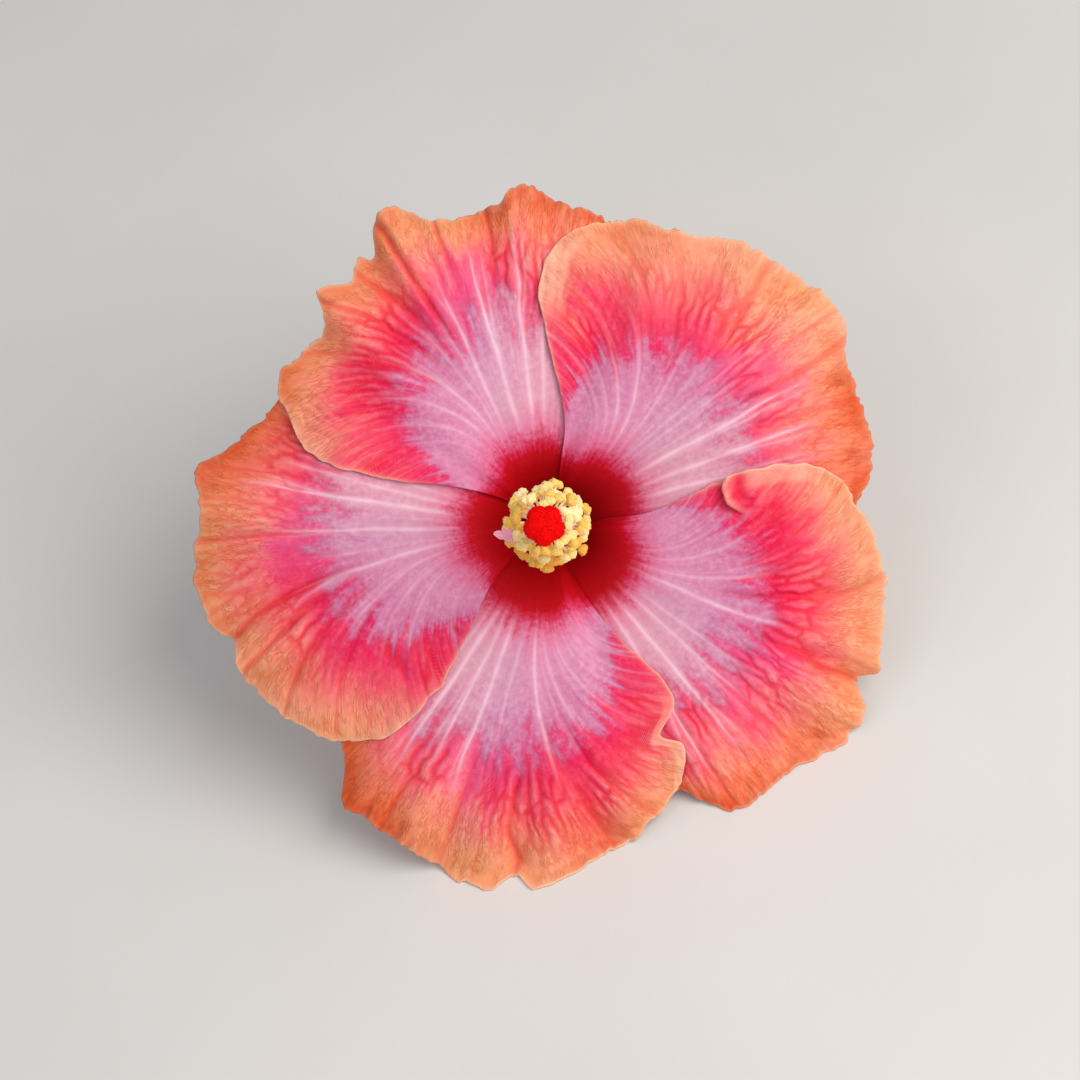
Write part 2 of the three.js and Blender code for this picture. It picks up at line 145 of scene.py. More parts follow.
def addMesh(name, bm):
    mesh = bpy.data.meshes.new(name)
    bm.to_mesh(mesh)
    bm.free()
    obj = bpy.data.objects.new(name, mesh)
    bpy.context.scene.collection.objects.link(obj)
    mesh.polygons.foreach_set("use_smooth", [True] * len(mesh.polygons))
    return obj


def addGrid(name, columns, rows):
    # a flat sheet to be bent by formulas, with each point's place across and along it from 0 to 1
    bm = bmesh.new()
    bmesh.ops.create_grid(bm, x_segments=columns, y_segments=rows, size=0.5)
    obj = addMesh(name, bm)
    across, along = getPlaces(obj)[:2] + 0.5
    return obj, across, along


def addTurned(bm, profile, sides, closed=False):
    # the profile's points are radius and height; one on the axis closes the shape
    verts = [bm.verts.new((radius, 0, height)) for radius, height in profile]
    pairs = list(zip(verts, verts[1:])) + ([(verts[-1], verts[0])] if closed else [])
    edges = [bm.edges.new(pair) for pair in pairs]
    bmesh.ops.spin(bm, geom=verts + edges, cent=(0, 0, 0), axis=(0, 0, 1), angle=2 * math.pi, steps=sides)
    joinFaces(bm)
    # spin leaves the faces in any order, so they are sorted: the hairs then stand in the same places each run
    bm.verts.index_update()
    count = len(bm.verts)
    bm.faces.sort(key=lambda face: face.verts[0].index * count + face.verts[1].index)


def addTubes(name, paths, resolution):
    # round rods; each path's points are x, y, z and radius
    data = bpy.data.curves.new(name, "CURVE")
    data.dimensions = "3D"
    data.bevel_depth = 1
    data.bevel_resolution = resolution
    data.use_fill_caps = True
    for path in paths:
        spline = data.splines.new("POLY")
        spline.points.add(len(path) - 1)
        for point, (x, y, z, radius) in zip(spline.points, path):
            point.co = (x, y, z, 1)
            point.radius = radius
    curve = bpy.data.objects.new(name + "_paths", data)
    bpy.context.scene.collection.objects.link(curve)
    depsgraph = bpy.context.evaluated_depsgraph_get()
    bm = bmesh.new()
    bm.from_mesh(bpy.data.meshes.new_from_object(curve.evaluated_get(depsgraph)))
    bpy.data.objects.remove(curve)
    bpy.data.curves.remove(data)
    joinFaces(bm)
    return addMesh(name, bm)


def getPlaces(obj):
    places = np.empty(len(obj.data.vertices) * 3, np.float32)
    obj.data.vertices.foreach_get("co", places)
    return places.reshape(-1, 3).astype(float).T


def setPlaces(obj, x, y, z):
    obj.data.vertices.foreach_set("co", np.stack((x, y, z), 1).astype(np.float32).ravel())
    obj.data.update()


def setFloats(obj, name, values):
    # a number at each point, for the materials
    attribute = obj.data.attributes.new(name, "FLOAT", "POINT")
    attribute.data.foreach_set("value", np.asarray(values, np.float32))


def scatter(mesh, count, seed):
    # points spread evenly at random over a surface, each with its normal
    rng = np.random.default_rng(seed)
    mesh.calc_loop_triangles()
    triangles = mesh.loop_triangles
    areas = np.array([triangle.area for triangle in triangles])
    for pick in rng.choice(len(triangles), count, p=areas / areas.sum()):
        a, b = sorted(rng.random(2))
        corners = [mesh.vertices[k].co for k in triangles[pick].vertices]
        point = corners[0] * a + corners[1] * (b - a) + corners[2] * (1 - b)
        yield point, triangles[pick].normal.copy()


def standing(point, direction):
    return Matrix.Translation(point) @ direction.to_track_quat("Z", "Y").to_matrix().to_4x4()


def addModifier(obj, kind, **settings):
    modifier = obj.modifiers.new(kind.lower(), kind)
    for name, value in settings.items():
        setattr(modifier, name, value)


def applyModifiers(obj):
    depsgraph = bpy.context.evaluated_depsgraph_get()
    finished = bpy.data.meshes.new_from_object(obj.evaluated_get(depsgraph), depsgraph=depsgraph)
    obj.modifiers.clear()
    plain = obj.data
    obj.data = finished
    bpy.data.meshes.remove(plain)
    finished.name = obj.name


def finishPiece(obj, node, slot, *materials):
    # its materials, its place in the row's frame, and the part of model.glb that it stands for, which it
    # hides; slot is not used
    for material in materials:
        obj.data.materials.append(material)
    obj.data.transform(toRow)
    obj.data.update()
    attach(obj, "root")
    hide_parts(node)


petalShape = {
    "step": 72.0,  # degrees from one petal to the next
    "clawRadius": 4.2,
    "fullRadius": 80.0,
    "waves": [(24, 1.3, 0), (12.7, 0.9, 0.3)],  # of the ruffle: degrees, height, shift
    "twist": 1.7,  # how far the upper edge rises and the lower edge falls at half a step
    "arch": 2.4,  # how far both sides fall away from the midline at 45 degrees
    "gap": 0.7,  # between the middles of a petal and of the next one that it lies on
    "clawGap": 1.1,  # the same at the claws
    "tableSoftness": 1.2,
    "halfThickness": 0.3,  # of the solid that the table bends
    "columns": 250,
    "rows": 192,
    "thickness": 0.85,  # at the claw
    "marginThickness": 0.42,  # share of that at the margin
    "corrugation": 0.55,  # height of the soft ridges along the outer veins
    "crepe": 0.5,  # height of the skin between creases
    "creases": [(2.1, 5.0, 1.0, 0), (3.8, 4.6, 0.6, 50)],  # cell, length by width, strength, seed
    "frill": 1.2,  # height of the frills at the rim
    # radius and height along a petal
    "profile": [
        (4.2, 1.6), (4.8, 8), (5.9, 15), (8, 22), (12, 29), (18, 34.2),
        (28, 38.6), (42, 41.4), (54, 41.8), (68, 39), (80, 34), (90, 29),
    ],
    # radius and angle along the hidden lower edge, and at the inner end of each upper edge
    "lowerEdge": [(4.2, -32), (8, -36), (13, -39), (22, -40), (35, -43), (50, -46), (60, -45), (68, -41)],
    "upperClaw": [(4.2, 30.5), (8, 32.5), (13, 36)],
}
petalVeins = {
    "octaveWidth": 0.42,  # how wide a degree of the fan is where its first octave begins
    "reference": 40.0,  # radius at which a vein's angle is counted
    "relief": 0.16,  # how deep a vein lies in the skin
    "halfWidth": 0.27,
    "extraWidth": 0.22,  # more for a strong vein, near to the eye
    "branchFrom": (30, 46),  # radius where a branch leaves its vein
    "branchAside": (1.4, 2.6),  # how many degrees it ends beside it
    "faint": 24,  # veins between the main ones
    "faintPlace": (-46, 60),
    "faintStrength": (0.15, 0.38),
    "faintReach": (40, 60),
}

# What sets each petal apart. An angle in the fan is the one that a vein has at the reference radius.
# middle: the angle of its midline round the flower. wave: where its ruffle starts, as a share of a wave.
# further: how much further out its halo and its rose ring reach.
# edge: radius and angle along the upper edge. margin: angle and radius along the outer margin.
# folds: angle, half width, lift at the margin, radius where it starts.
# veins: angle in the fan, strength, radius that it reaches.
# patches: pale or, below zero, deep orange, partly painted light: angle, half width, depth from the margin,
# strength.
# paleEdges: pale bands along the upper edge, partly painted highlight: radius, half length, width, strength.
# gathers: narrow valleys: angle in the fan, radius where it starts, depth.
# puckers: hollows near the upper edge: radius, angle, half angle, half width, depth.
# notches: in the upper edge: radius, half width, depth.
# pleats: where the blade laps over itself: radius, slant, length from the edge, lap, rise.
petals = [
    {
        "name": "petal_upper_right", "middle": 43, "wave": 0.15, "further": (-1.0, -1.6),
        "edge": [
            (21.7, 37.4), (28.8, 41), (37.7, 46), (44.6, 48.2), (51.4, 49.3), (57.2, 48.8), (62.9, 46.8),
            (67.2, 43),
        ],
        "margin": [
            (37.5, 70.6), (31, 73.1), (25, 73.4), (20, 75), (14, 78.2), (8, 79.6), (2, 80.8), (-5, 83.2),
            (-9, 82.8), (-13, 78.9), (-19, 77.5), (-25, 76.6), (-31, 76.4), (-37, 73), (-42, 69),
        ],
        "folds": [(-7, 5, 3.2, 52), (-13, 3.5, -2.4, 55), (22, 5, -2, 50), (-33, 5, 2, 48)],
        "veins": [
            (-34, 0.5, 56), (-27.8, 1, 64), (-21, 0.95, 67), (-13, 1, 70), (-5, 0.5, 58), (-1.6, 0.45, 64),
            (6.6, 0.55, 52), (16.6, 0.8, 50), (24.8, 0.7, 47), (33, 0.5, 42), (46, 0.35, 36),
        ],
        "paleEdges": [(57.5, 8.5, 7, 1.0)],
        "patches": [
            (-8, 7, 12, 0.8), (18, 12, 17, 0.9), (-22, 6, 2.4, -0.8), (-29.5, 4, 6, 0.4), (-38, 4.5, 5, -0.9),
        ],
        "gathers": [
            (-10.5, 56, 1.1), (-5.5, 60, 0.8), (2.5, 52, 0.8), (9, 46, 0.7), (14, 44, 0.7), (-19, 60, 0.7),
        ],
    },
    {
        "name": "petal_upper_left", "middle": 115, "wave": 0.4, "further": (-1.0, -0.6),
        "edge": [(21.9, 42), (35.2, 48.6), (47.1, 49.5), (53.3, 49.3), (60.1, 46.5), (66, 41)],
        "margin": [
            (38.5, 69.2), (35, 71.8), (32, 69.7), (26, 68.2), (22.5, 69.2), (19.5, 75.2), (14.5, 72),
            (10.5, 75.4), (8, 74.2), (5, 80), (1.5, 81.8), (-1, 79.2), (-4, 74.9), (-9, 73.3), (-16, 75.4),
            (-20.6, 78.4), (-27, 74.3), (-34, 72.3), (-41, 68),
        ],
        "folds": [
            (3.5, 3.2, 4.2, 30), (9, 3, -2.6, 45), (-9, 6, -2.2, 45), (-20, 5, 2.4, 50), (19, 3, 2.4, 52),
            (26, 4, -2, 52),
        ],
        "veins": [
            (-31, 0.5, 56), (-23.3, 0.9, 66), (-17, 1, 70), (-8, 1, 68), (-0.4, 0.8, 64), (5.5, 0.5, 60),
            (12.2, 0.75, 56), (21, 0.6, 52), (30, 0.55, 46), (40, 0.4, 38),
        ],
        "patches": [
            (4, 4, 5, -0.8), (18, 6, 6, -0.8), (35, 6, 6, -0.8), (10, 16, 9, -0.45), (-20, 6, 6, 0.3),
        ],
        "gathers": [
            (2, 44, 1.7), (4.6, 50, 1.0), (-3.5, 54, 0.9), (8, 42, 0.9), (13, 40, 0.8), (-13, 58, 0.7),
        ],
    },
    {
        "name": "petal_left", "middle": 187, "wave": 0.7, "further": (1.8, 2.2),
        "edge": [(19, 39), (28, 45), (37, 47.8), (45.5, 48.8), (55, 47.7), (61.9, 44.9)],
        "margin": [
            (39.2, 68.6), (36, 71.6), (32, 73.3), (28, 75.2), (23, 77.3), (18, 79.2), (13.5, 77),
            (10.5, 80.8), (5, 82.2), (2, 83), (-4, 81.8), (-10, 80.2), (-16.5, 81.8), (-20, 76.2), (-25, 72),
            (-30, 69), (-36, 67), (-41, 65),
        ],
        "folds": [
            (13.5, 3.2, -3.6, 42), (18, 3.5, 2.6, 50), (-17, 4, 2.4, 50), (-25, 6, -3.2, 48),
            (32, 5, 1.8, 50),
        ],
        "veins": [
            (-31, 0.55, 58), (-24, 0.6, 62), (-19.8, 0.8, 64), (-14.2, 1, 72), (-5.4, 0.8, 66),
            (0.8, 0.4, 58), (5.3, 0.85, 62), (14, 0.6, 56), (22.4, 0.55, 52), (31.4, 0.45, 46),
            (42, 0.35, 38),
        ],
        "patches": [(-23, 13, 12, -1.0), (27, 8, 9, 0.5), (0, 8, 7, -0.4)],
        "puckers": [(46.3, 34, 6.5, 1.7, 1.6), (31.7, 41.5, 2.6, 0.9, 0.6)],
        "gathers": [
            (4.2, 44, 1.6), (6.6, 46, 0.9), (-4, 52, 0.8), (10.5, 42, 0.8), (-16, 56, 0.8), (16, 40, 0.7),
        ],
    },
    {
        "name": "petal_lower", "middle": 259, "wave": 0.95, "further": (2.4, 1.8),
        "edge": [(23.1, 40), (32.5, 43.6), (39.5, 46.2), (46.4, 46.8), (55.5, 44.4), (62, 41.6)],
        "margin": [
            (38.1, 66.8), (33, 70), (29, 72.5), (26, 75), (20, 76.8), (14, 80.7), (8.5, 83.4), (5.3, 81),
            (2, 84.7), (-2, 84.8), (-9, 82), (-15, 81.2), (-21, 80), (-25, 80.4), (-28, 75.9), (-31, 70.8),
            (-36, 67), (-41, 64.5),
        ],
        "folds": [(5.3, 3, -2.6, 55), (22, 4, -2.2, 50), (-28, 5, -2.6, 50), (33, 5, 1.6, 45)],
        "veins": [
            (-30, 0.5, 58), (-24.6, 0.75, 64), (-20.6, 1, 68), (-14.7, 0.9, 64), (-9, 0.95, 68),
            (-2.6, 0.5, 58), (7.1, 0.8, 60), (15.6, 0.6, 52), (25.6, 0.6, 50), (34, 0.4, 44), (46, 0.3, 36),
        ],
        "paleEdges": [(62, 14, 3.6, 0.9)],
        "patches": [(-27, 10, 9, -1.0), (12, 6, 9, 0.4), (-8, 6, 9, 0.4)],
        "gathers": [(2.1, 56, 1.5), (-6.5, 56, 0.7), (8, 44, 0.8), (12.5, 42, 0.8), (-17, 58, 0.7)],
        "notches": [(54, 3.2, 5.4)],
    },
    {
        "name": "petal_lower_right", "middle": 331, "wave": 0.25, "further": (0.6, 3.6),
        "edge": [(21, 35.6), (32.9, 41), (43.9, 43.4), (52.4, 43.9), (59, 42.4), (66.3, 38.9)],
        "margin": [
            (35, 69.9), (32, 71.3), (29, 74), (23, 76.8), (17, 79.4), (11, 80.8), (5, 82.7), (2.2, 79.4),
            (-1, 84.8), (-7, 84.6), (-11, 82), (-15, 80.2), (-20, 79), (-28, 78.2), (-31, 74.2), (-34, 68.8),
            (-41, 65.5),
        ],
        "folds": [(2.2, 3, -3.8, 52), (6.5, 3, 2, 58), (36, 5, 3, 42), (-13, 5, -2, 55), (-27, 4, 2, 58)],
        "veins": [
            (-31.5, 0.6, 62), (-26.4, 0.95, 70), (-19.6, 1, 70), (-12.2, 0.75, 64), (-7.4, 0.55, 62),
            (3.4, 0.85, 60), (11.6, 0.6, 56), (21.6, 0.5, 50), (31, 0.4, 46), (42, 0.3, 38),
        ],
        "gathers": [
            (1, 52, 1.2), (7, 40, 0.9), (-12.5, 54, 0.8), (16, 42, 0.8), (20.3, 46, 0.7), (24.5, 46, 0.9),
            (-26, 56, 0.8),
        ],
        "paleEdges": [(55, 9, 5, 0.75)],
        "patches": [(16, 10, 9, 0.85), (31, 8, 9, 0.95), (-12, 10, 9, 0.4), (-30, 7, 6, -0.9)],
        "pleats": [(42.8, 0.15, 10.5, 4.6, 2.8)],
    },
]

# Where the colours of a petal change: angle and radius. The eye is wine red, the halo lavender pink, then
# come a rose ring and a coral one, and the orange margin. Rose reaches further in on the upper side.
petalZones = {
    "eye": [
        (-50, 18), (-38, 19.6), (-26, 21), (-9, 21.2), (5, 20.9), (14, 19.8), (24.6, 17.6), (32, 17.8),
        (38, 18.6), (50, 19.4),
    ],
    "eyeAside": (2.0, 300),  # how far the eye lies off the flower's axis, and towards which angle
    "halo": [
        (-50, 46), (-36, 48), (-24, 50.8), (-16, 53.5), (-8, 52.3), (4, 51.5), (13, 49.7), (22, 45.5),
        (29.3, 42), (33.5, 38.5), (37.6, 30), (45, 25), (50, 24),
    ],
    "rose": [(-50, 56), (-24, 61), (-8, 62.5), (8, 61.5), (22, 59), (33, 55), (38.6, 51.5), (50, 49)],
    "coralShare": 0.5,  # how far the coral reaches from the rose ring to the margin
}

petalHeightAt = curveThrough(petalShape["profile"])
lowerEdgeAt = curveThrough(petalShape["lowerEdge"])
for petal in petals:
    endAngle, endRadius = petal["margin"][0]
    petal["edgeAt"] = curveThrough(petalShape["upperClaw"] + petal["edge"] + [(endRadius, endAngle)])
    petal["marginAt"] = curveThrough(petal["margin"])
eyeAt, haloAt, roseAt = (curveThrough(petalZones[zone]) for zone in ("eye", "halo", "rose"))


def ruffle(petal, radius, angle):
    full = petalShape["fullRadius"]
    waves = sum(
        height * np.sin(2 * math.pi * (angle / degrees + petal["wave"] + shift))
        for degrees, height, shift in petalShape["waves"]
    )
    lift = smoothstep(radius, 34, full) ** 1.4 * waves
    for at, halfWidth, height, start in petal["folds"]:
        lift += height * bell(angle - at, halfWidth) * smoothstep(radius, start, full)
    return lift


def freeHeight(petal, radius, angle):
    twisted = smoothstep(radius, petalShape["clawRadius"], 11)
    arched = smoothstep(radius, 20, petalShape["fullRadius"])
    return (
        petalHeightAt(radius) + petalShape["twist"] * twisted * angle * 2 / petalShape["step"]
        - petalShape["arch"] * arched * (angle / 45) ** 2 + ruffle(petal, radius, angle)
    )


def restingHeight(x, y):
    # of a blade's middle where it lies on the table
    return tableHeight(x, y) + petalShape["halfThickness"] / straightUp.z


def fanLines(radius, angle):
    # The veins of a petal run straight out below its midline and curve away towards its upper edge. Each is
    # one label: its angle at the reference radius. Also how many millimetres wide a degree of the fan is.
    power = mix(0.1, 1.6, smoothstep(angle, -8, 10))
    spread = (softMax(radius, 24, 8) / petalVeins["reference"]) ** power
    return angle / spread, np.radians(1) * radius * spread


def mainVeins(index, label, width, radius):
    # pale veins, brightest over the halo, each with a finer branch, and fainter ones between them
    rng = random.Random(300 + index)
    look = petalVeins
    faint = [
        tuple(rng.uniform(*look[limits]) for limits in ("faintPlace", "faintStrength", "faintReach"))
        for _ in range(look["faint"])
    ]
    veins = np.zeros_like(radius)
    for at, strong, reach in petals[index]["veins"] + faint:
        start = rng.uniform(*look["branchFrom"])
        aside = rng.choice((-1, 1)) * rng.uniform(*look["branchAside"])
        drift = 0.45 * noise(radius / 8, at, index + 3)
        uneven = 0.8 + 0.2 * noise(radius / 2.5, at + 50, index + 4)
        fading = smoothstep(radius, 19, 31) * (1 - smoothstep(radius, reach - 12, reach + 2)) * uneven
        halfWidth = look["halfWidth"] + look["extraWidth"] * strong * (1 - smoothstep(radius, 34, 66))
        branch = 0.55 * smoothstep(radius, start, start + 5)
        for share, offset in ((1, 0), (branch, aside * smoothstep(radius, start, start + 26))):
            apart = (label - at - drift - offset) * width
            line = 0.75 * bell(apart, halfWidth) + 0.3 * strong * bell(apart / halfWidth, 3.4)
            veins = np.maximum(veins, strong * share * fading * np.minimum(line, 1))
    return veins


def inOctaves(width, pattern):
    # A pattern's cells keep their size while the veins fan out: each octave of the fan has its own cells, and
    # neighbouring octaves fade into each other.
    octave = np.log2(width / petalVeins["octaveWidth"])
    level = np.floor(octave)
    nearer, outer = (pattern(own, petalVeins["octaveWidth"] * 2.0 ** own) for own in (level, level + 1))
    return mix(nearer, outer, smoothstep(octave - level, 0.25, 0.75))


def fanNoise(seed, label, width, radius, cell, long):
    # noise that is stretched along the veins
    def pattern(level, degree):
        x, y = label * degree / cell, radius / (cell * long)
        x = x + 0.5 * noise(y * 1.9, x * 0.4, seed + 11) + 0.18 * noise(y * 5.3, x * 0.9, seed + 12)
        return noise(x, y, seed + level * 7)

    return inOctaves(width, pattern)


def fromCreases(seed, label, width, radius, cell, long):
    # how many millimetres each place is from a net of creases, whose cells lie along the veins
    def pattern(level, degree):
        wide, tall = cell * width / degree, cell * long
        x, y = label * degree / cell, radius / tall
        x = x + 0.5 * noise(y * 1.7, x * 0.5, seed + 11) + 0.2 * noise(y * 4.6, x * 0.8, seed + 12)
        centres = []  # of the cells round each place, from that place
        for i in (np.floor(x) + step for step in range(-2, 3)):
            for j in (np.floor(y) + step for step in range(-2, 3)):
                centres.append((
                    i + 0.12 + 0.76 * chance(i, j, seed + level * 7) - x,
                    j + 0.12 + 0.76 * chance(i, j, seed + level * 7 + 3) - y,
                ))
        nearest = np.argmin(np.stack([a * a + b * b for a, b in centres]), 0)[None]
        ownX, ownY = (np.take_along_axis(np.stack(part), nearest, 0)[0] for part in zip(*centres))
        away = np.full_like(x, 9.0)
        for a, b in centres:
            acrossX, acrossY = a - ownX, b - ownY
            reach = np.hypot(acrossX / wide, acrossY / tall)
            apart = ((a + ownX) * acrossX + (b + ownY) * acrossY) / 2 / np.maximum(reach, 1e-9)
            away = np.where(reach > 1e-6, np.minimum(away, apart), away)
        return away

    return inOctaves(width, pattern)


def pleated(petal, radius, height, fromEdge):
    # a stretch of the blade, from the upper edge inwards, laps over the part nearer to the eye
    lip, crimsonAndPaintedShade = np.zeros_like(radius), np.zeros_like(radius)
    for at, slant, long, lap, rise in petal.get("pleats", []):
        away = radius - at - slant * fromEdge - 1.8 * np.exp(-fromEdge / 1.6)
        away = away - 0.9 * noise(fromEdge * 0.45, 0, 7)
        share = 1 - smoothstep(fromEdge, long * 0.45, long)
        back = share * smoothstep(away, -1.2, 1.2) * (1 - smoothstep(away, 1.2, 11))
        hollow = share * bell(away - 3.6 + 0.8 * noise(fromEdge * 0.6, 0, 8), 1.1)
        # the lip of the fold is painted pale: partly the petal's peach, partly painted highlight
        lip = np.maximum(lip, share * bell(away - 1.1, 1.1))
        # painted shadow under the lap, with crimson; the pit behind the lip gets painted shade too
        shade = 0.8 * share * smoothstep(away, -6, -1) * (1 - smoothstep(away, -0.6, 0.4))
        crimsonAndPaintedShade = np.maximum(np.maximum(crimsonAndPaintedShade, shade), hollow)
        radius = radius - lap * back
        height = height + rise * back - 1.0 * hollow
    return radius, height, lip * (1 - crimsonAndPaintedShade), crimsonAndPaintedShade


def petalSkin(index, radius, angle):
    # Everything about a petal's face that depends only on the place in it: its zone, counted outwards (eye to
    # 1, halo to 2, rose to 3, coral to 4, margin at 5), its veins and creases, and its height with relief.
    petal = petals[index]
    seed = 20 + index
    label, width = fanLines(radius, angle)
    aside, towards = petalZones["eyeAside"]
    eye = eyeAt(angle) * (1 + 0.03 * noise(label * 0.12, radius / 60, seed + 21))
    eye = eye + aside * np.cos(np.radians(petal["middle"] + angle - towards))
    haloFurther, roseFurther = petal["further"]
    halo = haloAt(angle) * (1 + 0.05 * noise(label * 0.16, radius / 60, seed + 22)) + haloFurther
    rose = roseAt(angle) * (1 + 0.05 * noise(label * 0.14, radius / 60, seed + 23)) + roseFurther
    rose = np.maximum(rose, halo + 3)
    margin = petal["marginAt"](angle)
    coral = mix(rose, margin, petalZones["coralShare"])
    borders = [0 * radius, eye, halo, rose, coral, np.maximum(margin, coral + 2)]
    zone = np.zeros_like(radius)
    for inner, outer in zip(borders, borders[1:]):
        zone += np.clip((radius - inner) / (outer - inner), 0, 1)

    outside = smoothstep(radius, 24, 46)
    veins = mainVeins(index, label, width, radius)
    ridges = fanNoise(seed + 30, label, width, radius, 6.5, 5)
    lift = petalShape["corrugation"] * smoothstep(zone, 1.6, 3.4) * ridges
    lift = lift - petalVeins["relief"] * veins * outside
    creased = outside * mix(0.12, 1, smoothstep(zone, 1.75, 2.25)) * mix(1, 0.45, smoothstep(zone, 3, 4.6))
    creased = creased * mix(1, 0.5, smoothstep(angle, 22, 36) * smoothstep(zone, 2.6, 3.4))
    # the creases and valleys found here are painted deeper: partly their own colour, partly painted shade
    gathered, pillow, puckered = (np.zeros_like(radius) for _ in range(3))
    for cell, long, share, seedStep in petalShape["creases"]:
        away = fromCreases(seed + seedStep, label, width, radius, cell, long)
        patch = 0.25 + 0.75 * smoothstep(noise(label * 0.13, radius / 9, seed + seedStep + 40), -0.55, 0.35)
        gathered = np.maximum(gathered, bell(away, 0.5) * patch * creased * share)
        lift -= petalShape["crepe"] * (bell(away, 0.3 * cell) * patch * creased * share - 0.3)
        pillow += share * creased * patch * (smoothstep(away, 0.08 * cell, 0.4 * cell) - 0.4)
    for at, start, depth in petal["gathers"]:
        wavering = at + 0.4 * noise(radius / 7, at, seed + 8)
        valley = bell((label - wavering) * width, 0.8) * smoothstep(radius, start - 6, start + 14)
        gathered = np.maximum(gathered, valley * min(1, depth))
        lift -= depth * valley
    for at, towards, halfAngle, halfWidth, depth in petal.get("puckers", []):
        across = radius - at - 0.8 * noise(angle * 0.35, 0, seed + 9)
        pucker = np.exp(-((across / halfWidth) ** 2) - ((angle - towards) / halfAngle) ** 2)
        puckered = np.maximum(puckered, pucker)
        lift -= depth * pucker
    # painted light and shade of the relief: its crests and the cells between creases are painted paler, its
    # hollows deeper
    paintedFoldLight = 0.35 * ridges * smoothstep(zone, 1.6, 3.4) + ruffle(petal, radius, angle) / 11 + 0.6 * pillow
    return {
        "label": label, "width": width, "zone": zone, "vein": veins, "creaseTintAndShade": gathered, "pucker": puckered,
        "paintedFoldLight": paintedFoldLight, "height": freeHeight(petal, radius, angle) + lift,
    }


def resting(index, radius, angle, height):
    # the upper edge lies close on the next petal anticlockwise, and the lowest petals bend along the table
    upper = angle > 9.9
    nextAngle = angle[upper] - petalShape["step"]
    below = np.full_like(height, -99.0)
    below[upper] = petalSkin((index + 1) % len(petals), radius[upper], nextAngle)["height"]
    below = below + mix(petalShape["clawGap"], petalShape["gap"], smoothstep(radius, 10, 40))
    held = softMax(height, below, 0.5)
    held = mix(held, below + 0.3 * (held - below), smoothstep(angle, 22, 34))
    height = mix(height, held, smoothstep(angle, 10, 22))
    turn = np.radians(petals[index]["middle"] + angle)
    table = restingHeight(radius * np.cos(turn), radius * np.sin(turn))
    return softMax(height, table, petalShape["tableSoftness"])


def petalTints(petal, seed, skin, angle, radius, fromMargin, fromEdge, fromLower, side, lip, crimsonAndPaintedShade):
    # what the petal's materials read, besides its zones: pale and deep orange, partly painted light, and the
    # thin pale rim
    label, fromAxis = skin["label"], skin["fromAxis"]
    # pale margins, stronger on the upper side, and pale bands: partly the petal's own colour, partly painted
    # highlight
    pale = np.exp(-np.minimum(fromMargin, fromEdge) / 3.2) * smoothstep(fromAxis, 40, 60)
    pale = pale * mix(0.05, 0.85, side)
    pale = pale * (0.55 + 0.45 * noise(label * 0.12, radius / 18, seed + 9))
    for at, halfLength, wide, strong in petal.get("paleEdges", []):
        band = np.exp(-(((fromAxis - at) / halfLength) ** 4)) * (1 - smoothstep(fromEdge, wide * 0.6, wide))
        pale = np.maximum(pale, strong * band)
    deep = np.zeros_like(pale)
    # pale and deep patches: partly the petal's own colour, partly painted highlight and painted shade
    for at, halfWidth, wide, strong in petal["patches"]:
        spot = np.exp(-(((angle - at) / halfWidth) ** 2) - (np.maximum(fromMargin, 0) / wide) ** 2)
        spot = spot * (0.75 + 0.35 * noise(label * 0.3, radius / 7, seed + 12))
        pale, deep = np.maximum(pale, strong * spot), np.maximum(deep, -strong * spot)
    near = np.minimum(np.maximum(fromMargin, 0), np.minimum(fromEdge, fromLower))
    return {
        "zone": np.maximum(skin["zone"] - 1.1 * crimsonAndPaintedShade, np.minimum(skin["zone"], 2.32)),
        "upperSide": side,
        "paintedFoldLight": skin["paintedFoldLight"],
        "vein": skin["vein"],
        "creaseTintAndShade": np.maximum(skin["creaseTintAndShade"], crimsonAndPaintedShade),
        "pale": np.maximum(pale * (1 - crimsonAndPaintedShade), lip),
        "deep": deep,
        "rim": smoothstep(radius, 24, 40) * np.exp(-near / 0.4) * mix(0.3, 0.9, side),
        "fanWidth": skin["width"],
        "fromAxis": fromAxis,
    }


